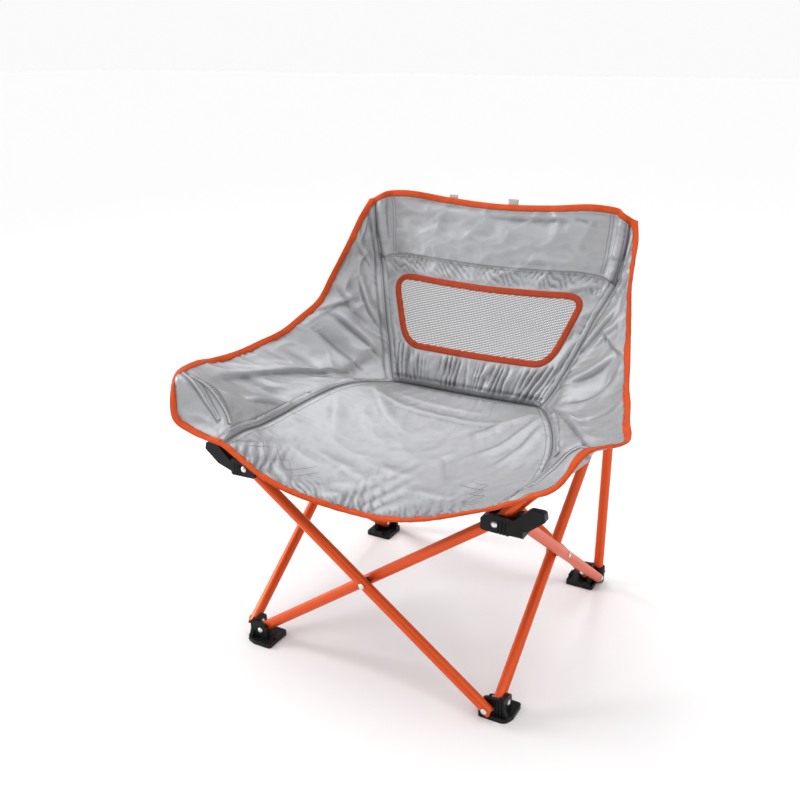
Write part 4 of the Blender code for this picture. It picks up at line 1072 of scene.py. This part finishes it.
def make_wing(hand, seed):
    """One wing with its folds; each hand has its own crumples."""
    wing = Panel(wing_net(hand), (-0.6 * hand, -0.3, 1.0))
    u, v = wing.flat[..., 0], wing.flat[..., 1]
    from_seam = wing.width - u
    wing.crumple(seed, 0.060, 0.0020)
    wing.crumple(seed + 1, 0.026, 0.0007)
    wing.pucker(v, from_seam, seed + 2, 0.014, 0.014, 0.0010, 0.4)
    wing.pucker(v, u, seed + 3, 0.016, 0.016, 0.0009, -0.3)
    for start, end, width, height, bend in WING_FOLDS:
        start, end = np.array(start) * (hand, 1, 1), np.array(end) * (hand, 1, 1)
        wing.fold(start, end, width, height * WING_DEPTH, bend=bend * hand)
    # painted shade: dark lines beside each pocket band, added to the wing's painted crease shade
    marks = np.zeros_like(wing.height)
    for start, end in POCKET_LINES:
        start, end = (wing.spot_near(np.array(point) * (hand, 1, 1)) for point in (start, end))
        run = end - start
        t = np.clip(((wing.flat - start) @ run) / (run @ run), 0, 1)
        gap = np.linalg.norm(wing.flat - start - t[..., None] * run, axis=-1)
        wing.height *= np.clip((gap - 0.005) / 0.010, 0, 1)
        marks += 0.8 * np.exp(-((gap - POCKET_BAND / 2 - 0.0012) / 0.0018) ** 2)
    # painted shade lines along the wing's outer edge and its inner seam
    seams = (("first", 0.012, 0.3, 0.002), ("last", 0.0135, 0.75, 0.0026), ("last", 0, 0.7, 0.0024))
    wing.settle(0.015, seams)
    wing.crease = np.clip(wing.crease + marks[..., None], 0, 1)
    return wing


wings = {"right": make_wing(HANDS["right"], 41), "left": make_wing(HANDS["left"], 61)}
for name, wing in wings.items():
    print(name, "wing cut", round(wing.width, 3), "x", round(wing.length, 3))

# %% [markdown]
# ## Sewing the panels
# Each panel becomes one piece of cloth. The seat is made in two halves that meet along its
# cross fold, because that fold is where the cloth parts when the frame closes.

# %% Cloth of the seat, the back and the wings
seat_split = int(seat.down * 0.34)      # the row that the cross fold lies along


def rows_of(panel, rows):
    """The net, cut and painted crease shade of some rows of a panel, which may lie between its own."""
    low = np.minimum(np.floor(rows).astype(int), panel.down - 2)
    part = (rows - low)[:, None, None]
    return [values[low] * (1 - part) + values[low + 1] * part
            for values in (panel.net, panel.cut, panel.crease)]


def seat_half(name, rows):
    """A piece of cloth over some rows of the seat."""
    mesh = grid_mesh(name, *rows_of(seat, rows))
    return thicken(finished_object(name, mesh, cloth), CLOTH_THICK)


# a row close to the cut edge keeps the shading even right up to it
rear_rows = np.r_[0:seat_split, seat_split - 0.04, seat_split]
front_rows = np.r_[seat_split, seat_split + 0.04, seat_split + 1:seat.down]
seat_rear = seat_half("seat_rear_cloth", rear_rows)
seat_front = seat_half("seat_front_cloth", front_rows)
back_cloth = cloth_piece("back_cloth", back, cloth, CLOTH_THICK, ~opening)
window_net = cloth_piece("window_net", back, knit, KNIT_THICK, mesh_area)
wing_cloth = {side: cloth_piece(side + "_wing_cloth", wing, cloth, CLOTH_THICK)
              for side, wing in wings.items()}
for item in (seat_rear, seat_front, back_cloth, window_net, *wing_cloth.values()):
    print(item.name, len(item.data.polygons), "faces")

# %% [markdown]
# ## Tapes
# Orange tape binds every outer edge. Another ring of it, in a duller red, holds the mesh
# in its window and shows on both faces. The front and top tapes run on past the corners of
# their panel, so they are laid over several edges end to end. The others follow one edge.

# %% The front and top tapes
def tape_over(name, lines, thick, seed):
    """Tape along several lines of points, normals and inward directions, end to end."""
    points, normal, inward = (np.vstack(parts) for parts in zip(*lines))
    # where two lines meet, points closer than this would kink the tape
    keep = np.r_[True, np.linalg.norm(np.diff(points, axis=0), axis=1) > 0.0008]
    points, normal, inward = points[keep], normal[keep], inward[keep]
    for _ in range(3):
        points[1:-1] = (points[:-2] + 2 * points[1:-1] + points[2:]) / 4
        normal[1:-1] = (normal[:-2] + 2 * normal[1:-1] + normal[2:]) / 4
        inward[1:-1] = (inward[:-2] + 2 * inward[1:-1] + inward[2:]) / 4
    normal /= np.linalg.norm(normal, axis=1, keepdims=True)
    inward /= np.linalg.norm(inward, axis=1, keepdims=True)
    return strap(name, points - inward * OVERHANG, inward, normal, tape, TAPE_WIDTH, thick, 0.0005, seed)


def wing_head(side):
    """The short top edge of a wing, from its outer corner to the back."""
    points, normal = wings[side].line([(x, 0.0) for x in (0.0, 0.5, 1.0)], 0.0016)
    inward = np.tile((-0.35 * HANDS[side], -0.10, -1.0), (len(points), 1))
    return points, normal * np.sign(-normal[:, 1:2]), inward


def edge_with_inside(panel, edge):
    """Points, normals and inward directions along one edge of a panel."""
    points, normal = panel.line(panel.beside(edge, 0))
    within = panel.line(panel.beside(edge, 0.010))[0]
    return points, normal, matched(within, len(points)) - points


def past_corner(side, seat_edge, end):
    """A little of a wing's edge next to the seat, so the front tape runs on over it."""
    wing = wings[side]
    points, _ = wing.line(wing.beside("first", 0, 0.965, 0.995, 12))
    order = slice(None, None, 1 if end == 0 else -1)
    normal, inward = (np.tile(part[end], (len(points), 1)) for part in seat_edge[1:])
    return points[order], normal, inward


seat_edge = edge_with_inside(seat, "foot")
front_lines = [past_corner("left", seat_edge, 0), seat_edge, past_corner("right", seat_edge, -1)]
front_tape = tape_over("front_tape", front_lines, 0.0038, 6)
left_head, right_head = wing_head("left"), wing_head("right")
top_lines = [left_head, edge_with_inside(back, "foot"), [part[::-1] for part in right_head]]
top_tape = tape_over("top_tape", top_lines, TAPE_THICK, 5)
for item in (front_tape, top_tape):
    print(item.name, len(item.data.polygons), "faces")

# %% The tapes of the wings
wing_tape = {}
for side, wing in wings.items():
    outer, inner = (wing.beside("first", reach, count=160) for reach in (0, 0.01))
    wing_tape[side] = edge_tape(side + "_wing_tape", wing, outer, inner, tape,
                                TAPE_WIDTH, TAPE_THICK, OVERHANG, 7)
    print(wing_tape[side].name, len(wing_tape[side].data.polygons), "faces")

# %% The window's tape
WINDOW_TAPE = 0.0104        # its width, half of it on the cloth and half on the mesh
ENDS_AT = 3 * CORNER_STEPS - 1      # its two ends meet at the end of the third corner


def around_window(step):
    """Shares of a closed line round the window, moved in by step."""
    ring = np.roll(moved_in(window, step), -ENDS_AT, axis=0)
    return np.vstack([ring, ring[:1]]) / (back.width, back.length)


window_tape = edge_tape("window_tape", back, around_window(-WINDOW_TAPE / 2),
                        around_window(WINDOW_TAPE / 2), dark_tape, WINDOW_TAPE, 0.0030, 0.0, 8)
print(window_tape.name, len(window_tape.data.polygons), "faces")

# %% [markdown]
# The long seams are felled: the raw edges are turned under a flat band of the same cloth,
# sewn down on both sides. The band stands a little proud, so the seam reads as a double
# line with a shadow beside it. The bands also get painted shade in their colour: the one at
# the crease much darker, the others a little darker.

# %% Felled bands on the back
def band(name, panel, edge, width, thick, seed, shade, **reach):
    """A felled band beside one edge of a panel, just inside it, darkened by painted shade."""
    outer, inner = (panel.beside(edge, distance, **reach) for distance in (0.0, width))
    return edge_tape(name, panel, outer, inner, cloth, width, thick, -0.0004, seed, shade)


hem_share = hem / back.length
# painted shade: the crease band is painted much darker, the rise bands a little
crease_band = band("crease_band", back, "top", 0.0085, 0.0034, 9, 0.85)
rise_bands = [band(side + "_rise_band", back, edge, 0.0075, 0.0022, 10, 0.15, stop=hem_share)
              for side, edge in (("left", "first"), ("right", "last"))]
print("bands on the back:", 1 + len(rise_bands))

# %% Felled bands on the wings
SIDE_STARTS = (len(UP_RISE) - 1) / WING_STOP    # how far down a wing the side seam starts
SIDE_STOPS = 0.97           # and how far down its rows end, under the front tape


def pocket_band(side, number):
    """A felled band on a wing, along one side of its post pocket."""
    wing, hand = wings[side], HANDS[side]
    start, end = (wing.spot_near(np.array(end) * (hand, 1, 1)) for end in POCKET_LINES[number])
    ahead = (end - start) / np.linalg.norm(end - start)
    aside = np.array((-ahead[1], ahead[0])) * POCKET_BAND / 2
    edges = [np.array((start + turn * aside, end + turn * aside)) / (wing.width, wing.length)
             for turn in (-1, 1)]
    return edge_tape(f"{side}_pocket_band_{number}", wing, *edges, cloth, POCKET_BAND, 0.0028, 0.0, 12)


pocket_bands = {side: [pocket_band(side, number) for number in (0, 1)] for side in wings}
# painted shade: the side seam bands are painted a little darker
side_bands = {side: band(side + "_seam_band", wing, "last", 0.0120, 0.0030, 11, 0.22,
                         start=SIDE_STARTS, stop=SIDE_STOPS, count=120) for side, wing in wings.items()}
print("bands on the wings:", len(side_bands) + sum(map(len, pocket_bands.values())))

# %% [markdown]
# ## Sleeves for the poles
# Each upright stands in a sleeve sewn behind the back, and each front post in a pocket
# sewn under its wing. Both are tubes of the same cloth, closed at the tip and wrinkled. The
# wrinkles move the rings of points and not only a bump, because the outline of a sleeve shows.

# %% A sleeve
SLEEVE_THICK = 0.0006


def sleeve(name, start, end, radius, seed, mouth):
    """A wrinkled tube of cloth from its open end, wider by mouth, to its closed tip."""
    start, end = place(start), place(end)
    ahead = (end - start) / np.linalg.norm(end - start)
    side = np.cross(ahead, (0, 1, 0))
    side /= np.linalg.norm(side)
    up = np.cross(side, ahead)
    draw = np.random.default_rng(seed)
    down, around = 60, 40
    net = np.zeros((down, around + 1, 3))
    cut = np.zeros((down, around + 1, 2))
    length = np.linalg.norm(end - start)
    turn = np.linspace(0, math.tau, around + 1)
    shifts = draw.uniform(0, 6, 6)
    for row, t in enumerate(np.linspace(0, 1, down)):
        along = t * length
        wrinkle = sum(np.sin(along * math.tau / pitch + k * turn + shift)
                      for pitch, k, shift in zip((0.019, 0.011, 0.007), (1, 2, 3), shifts)) / 3
        # wider over its first quarter, and rounded off over the last of it
        size = radius * (mouth - (mouth - 1) * min(1, t * 4)) + 0.00035 * wrinkle
        size = size * math.sqrt(max(0.02, 1 - max(0, (t - 0.94) / 0.06) ** 2 * 0.85))
        net[row] = (start + ahead * along + np.outer(np.cos(turn) * size, side)
                    + np.outer(np.sin(turn) * size, up))
        net[row, -1] = net[row, 0]
        cut[row] = np.column_stack([turn * radius, np.full(around + 1, along)])
    mesh = grid_mesh(name, net, cut, closed="tip")
    return thicken(finished_object(name, mesh, cloth), SLEEVE_THICK)


print("sleeve cloth", round(SLEEVE_THICK * 1000, 1), "mm thick")

# %% Sleeves of the uprights and pockets of the posts
sleeves = {}
pockets = {}
for side, hand in HANDS.items():
    low, tip = ((UPRIGHT_AT * hand, UPRIGHT_AT, height) for height in (0.527, 0.6115))
    sleeves[side] = sleeve(side + "_upright_sleeve", low, tip, 0.0097, 31 + hand, 1.12)
    low, tip = ((x * hand, POST_PLANE[hand], z) for x, z in ((0.262, 0.374), (0.2945, 0.4090)))
    pockets[side] = sleeve(side + "_post_pocket", low, tip, 0.0095, 37 + hand, 1.05)
    print(sleeves[side].name, "and", pockets[side].name)

# %% [markdown]
# ## Webbing
# Two short tabs of grey webbing stand up behind the top tape. Each is a small panel of its
# own, because its foot leans with the cloth and its top stands free.

# %% Tabs
TAB_THICK = 0.0012
TAB_LINE = ((0.2205, 0.600), (0.2245, 0.618), (0.2255, 0.6315))     # backwards and up, foot to top


def tab(name, x, wide):
    """A short upright piece of webbing, wide metres across at x."""
    rows = [[(x - wide / 2, y, z), (x + wide / 2, y, z)] for y, z in TAB_LINE]
    net = net_over([place(row) for row in rows], 24, 8)
    panel = Panel(net, (0, -1, 0))
    return thicken(finished_object(name, grid_mesh(name, net, panel.cut), webbing), TAB_THICK)


tabs = [tab("tab_one", -0.083, 0.015), tab("tab_two", 0.022, 0.017)]
print("tabs", len(tabs))

# %% [markdown]
# ## Stitching
# The seams show as rows of short stitches, a few millimetres from each edge, and the
# thread is a darker grey than the cloth. A drawn dashed line would stay flat, so every
# stitch is a bead of a few faces, which catches the light as thread does.

# %% Rows beside an edge
TAPE_ROW = 0.0085           # the row on a tape, from the cloth's edge


def rows_beside(panel, edge, distances, **reach):
    """Rows at some distances from one edge."""
    return [panel.line(panel.beside(edge, distance, **reach)) for distance in distances]


def both_edges(panel, distances, **reach):
    """Rows beside the first and the last edge."""
    return [line for edge in ("first", "last") for line in rows_beside(panel, edge, distances, **reach)]


def tape_stitches(name, panel, edge, **reach):
    """The row that holds a tape, on both faces."""
    return stitching(name, two_faced(rows_beside(panel, edge, (TAPE_ROW,), **reach)), ON_TAPE)


print("a row on a tape is", TAPE_ROW * 1000, "mm from the edge")

# %% Rows on the seat
def zigzag(panel, start, end, teeth, wide):
    """A zigzag row between two places."""
    start, end = (panel.spot_near(point) for point in (start, end))
    ahead = (end - start) / np.linalg.norm(end - start)
    side = np.array((-ahead[1], ahead[0])) * wide
    spots = [start + (end - start) * k / teeth + side * (-1) ** k for k in range(teeth + 1)]
    return panel.line(np.array(spots) / (panel.width, panel.length))


SEAM_ROWS = (0.0035, 0.0100)
ZIGZAGS = (((0.150, -0.212, 0.320), (0.128, -0.120, 0.315), 5, 0.011),
           ((0.152, -0.208, 0.320), (0.120, -0.130, 0.310), 3, 0.014),
           ((-0.202, -0.205, 0.330), (-0.090, -0.196, 0.295), 5, 0.016),
           ((-0.194, -0.196, 0.330), (-0.102, -0.190, 0.295), 3, 0.019))
split_share = seat_split / (seat.down - 1)
rear_lines = both_edges(seat, SEAM_ROWS, stop=split_share) + rows_beside(seat, "top", SEAM_ROWS)
front_lines = both_edges(seat, SEAM_ROWS, start=split_share)
front_lines += [zigzag(seat, *marks) for marks in ZIGZAGS]
seat_rear_stitches = stitching("seat_rear_stitches", two_faced(rear_lines))
seat_front_stitches = stitching("seat_front_stitches", two_faced(front_lines))
front_tape_stitches = tape_stitches("front_tape_stitches", seat, "foot")
print("rows on the seat:", len(rear_lines) + len(front_lines) + 1)

# %% Rows on the back
def row_between(panel, points):
    """A row through places given from the middle of the corners."""
    shares = np.array([panel.spot_near(point) for point in points]) / (panel.width, panel.length)
    return panel.line(shares)


BAND_HALF = 0.0012          # from the cloth's middle to a row on a felled band


def raised(lines):
    """Rows on both faces of a felled band."""
    return [(line + normal * side * BAND_HALF, normal * side) for line, normal in lines for side in (1, -1)]


back_lines = both_edges(back, (0.003, 0.007))
for offset in (-0.0035, 0.0015):        # beside the hem of the double upper part
    share = hem_share + offset / back.length
    back_lines.append(back.line([(x, share) for x in np.linspace(0.01, 0.99, 40)]))
for hand in HANDS.values():
    for shift in (0.0, 0.0045):         # beside each sleeve
        back_lines.append(row_between(back, [((0.182 - shift) * hand, 0.2005, 0.530),
                                             ((0.187 - shift) * hand, 0.2105, 0.578),
                                             ((0.190 - shift) * hand, 0.2110, 0.624)]))
crease_lines = rows_beside(back, "top", (0.002, 0.0065))
window_lines = [back.line(around_window(step)) for step in (-0.0022, 0.0026)]
back_stitches = stitching("back_stitches", two_faced(back_lines) + raised(crease_lines))
top_tape_stitches = tape_stitches("top_tape_stitches", back, "foot")
window_stitches = stitching("window_stitches", two_faced(window_lines), 0.0018)
print("rows on the back:", len(back_lines) + len(crease_lines) + len(window_lines) + 1)

# %% Rows on the wings
wing_stitches = {}
wing_tape_stitches = {}
for side, wing in wings.items():
    lines = rows_beside(wing, "last", SEAM_ROWS[:1], stop=SIDE_STARTS, count=120)
    felled = rows_beside(wing, "last", (0.0025, 0.0100), start=SIDE_STARTS, stop=SIDE_STOPS, count=120)
    felled += [row_between(wing, np.array(ends) * (HANDS[side], 1, 1)) for ends in POCKET_LINES]
    wing_stitches[side] = stitching(side + "_wing_stitches", two_faced(lines) + raised(felled))
    wing_tape_stitches[side] = tape_stitches(side + "_wing_tape_stitches", wing, "first",
                                             stop=SIDE_STOPS, count=160)
    print(side, "wing rows:", len(lines) + len(felled) + 1)

# %% [markdown]
# ## Riding on the frame
# The sling rides on the corner mouldings and tubes that it is sewn round. Each piece is
# attached to one of them and gets a mesh of its own. When the frame closes, the real cloth
# bunches between the tubes.

# %% What each piece rides on
CORNERS = {"right": "back_right_foot", "left": "back_left_foot"}
POSTS = {"right": "front_inner_tube", "left": "front_outer_tube"}


def sideways(item, body):
    """The piece rides on a body, with a mesh of its own."""
    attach(item, body)
    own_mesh(item)


for item in (back_cloth, window_net, window_tape, top_tape, top_tape_stitches, back_stitches,
             window_stitches, crease_band, *rise_bands, *tabs):
    sideways(item, "back_left_foot")
for item in (seat_rear, seat_rear_stitches):
    sideways(item, "left_outer_tube")
for item in (seat_front, seat_front_stitches, front_tape, front_tape_stitches):
    sideways(item, "left_inner_tube")
for side, hand in HANDS.items():
    for item in (wing_cloth[side], wing_tape[side], wing_stitches[side], wing_tape_stitches[side],
                 side_bands[side], *pocket_bands[side]):
        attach(item, CORNERS[side])
        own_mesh(item)
    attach(sleeves[side], CORNERS[side])
    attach(pockets[side], POSTS[side])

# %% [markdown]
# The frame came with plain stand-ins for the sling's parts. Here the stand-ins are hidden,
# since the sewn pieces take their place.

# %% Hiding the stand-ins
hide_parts("seat_panel")
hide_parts("front_binding")
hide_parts("back_panel")
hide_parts("mesh_window")
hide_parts("top_binding")
for side in HANDS:
    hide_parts(side + "_wing")
    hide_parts(side + "_binding")
    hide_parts(side + "_back_pocket")
    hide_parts(side + "_wing_pocket")
print("replaced stand-ins:", 5 + 4 * len(HANDS))

# %% [markdown]
# ## The cut sizes
# Every panel was cut flat. Each piece's flat width, the longest row of the net that it
# covers, is worked out here; it is not stored.

def declare(item, panel, cells, rests_on):
    """Work out the flat width of the part of a panel that cells cover."""
    rows = np.flatnonzero(cells[:-1, :-1].any(1))
    wide = max(panel.cut[row, -1, 0] for row in rows)
    if item is window_net:
        columns = np.flatnonzero(cells[:-1, :-1].any(0))
        wide *= (columns[-1] - columns[0] + 1) / (panel.across - 1)


poles = ["right_upright", "left_upright"]
rear_half = np.arange(seat.down)[:, None] + np.zeros(seat.across, int) < seat_split
declare(seat_rear, seat, rear_half, list(wing_cloth.values()))
declare(seat_front, seat, ~rear_half, list(wing_cloth.values()))
declare(back_cloth, back, ~opening, poles)
declare(window_net, back, mesh_area, [back_cloth])
for side, wing in wings.items():
    whole = np.ones((wing.down, wing.across), bool)
    declare(wing_cloth[side], wing, whole, [POSTS[side], side + "_upright"])
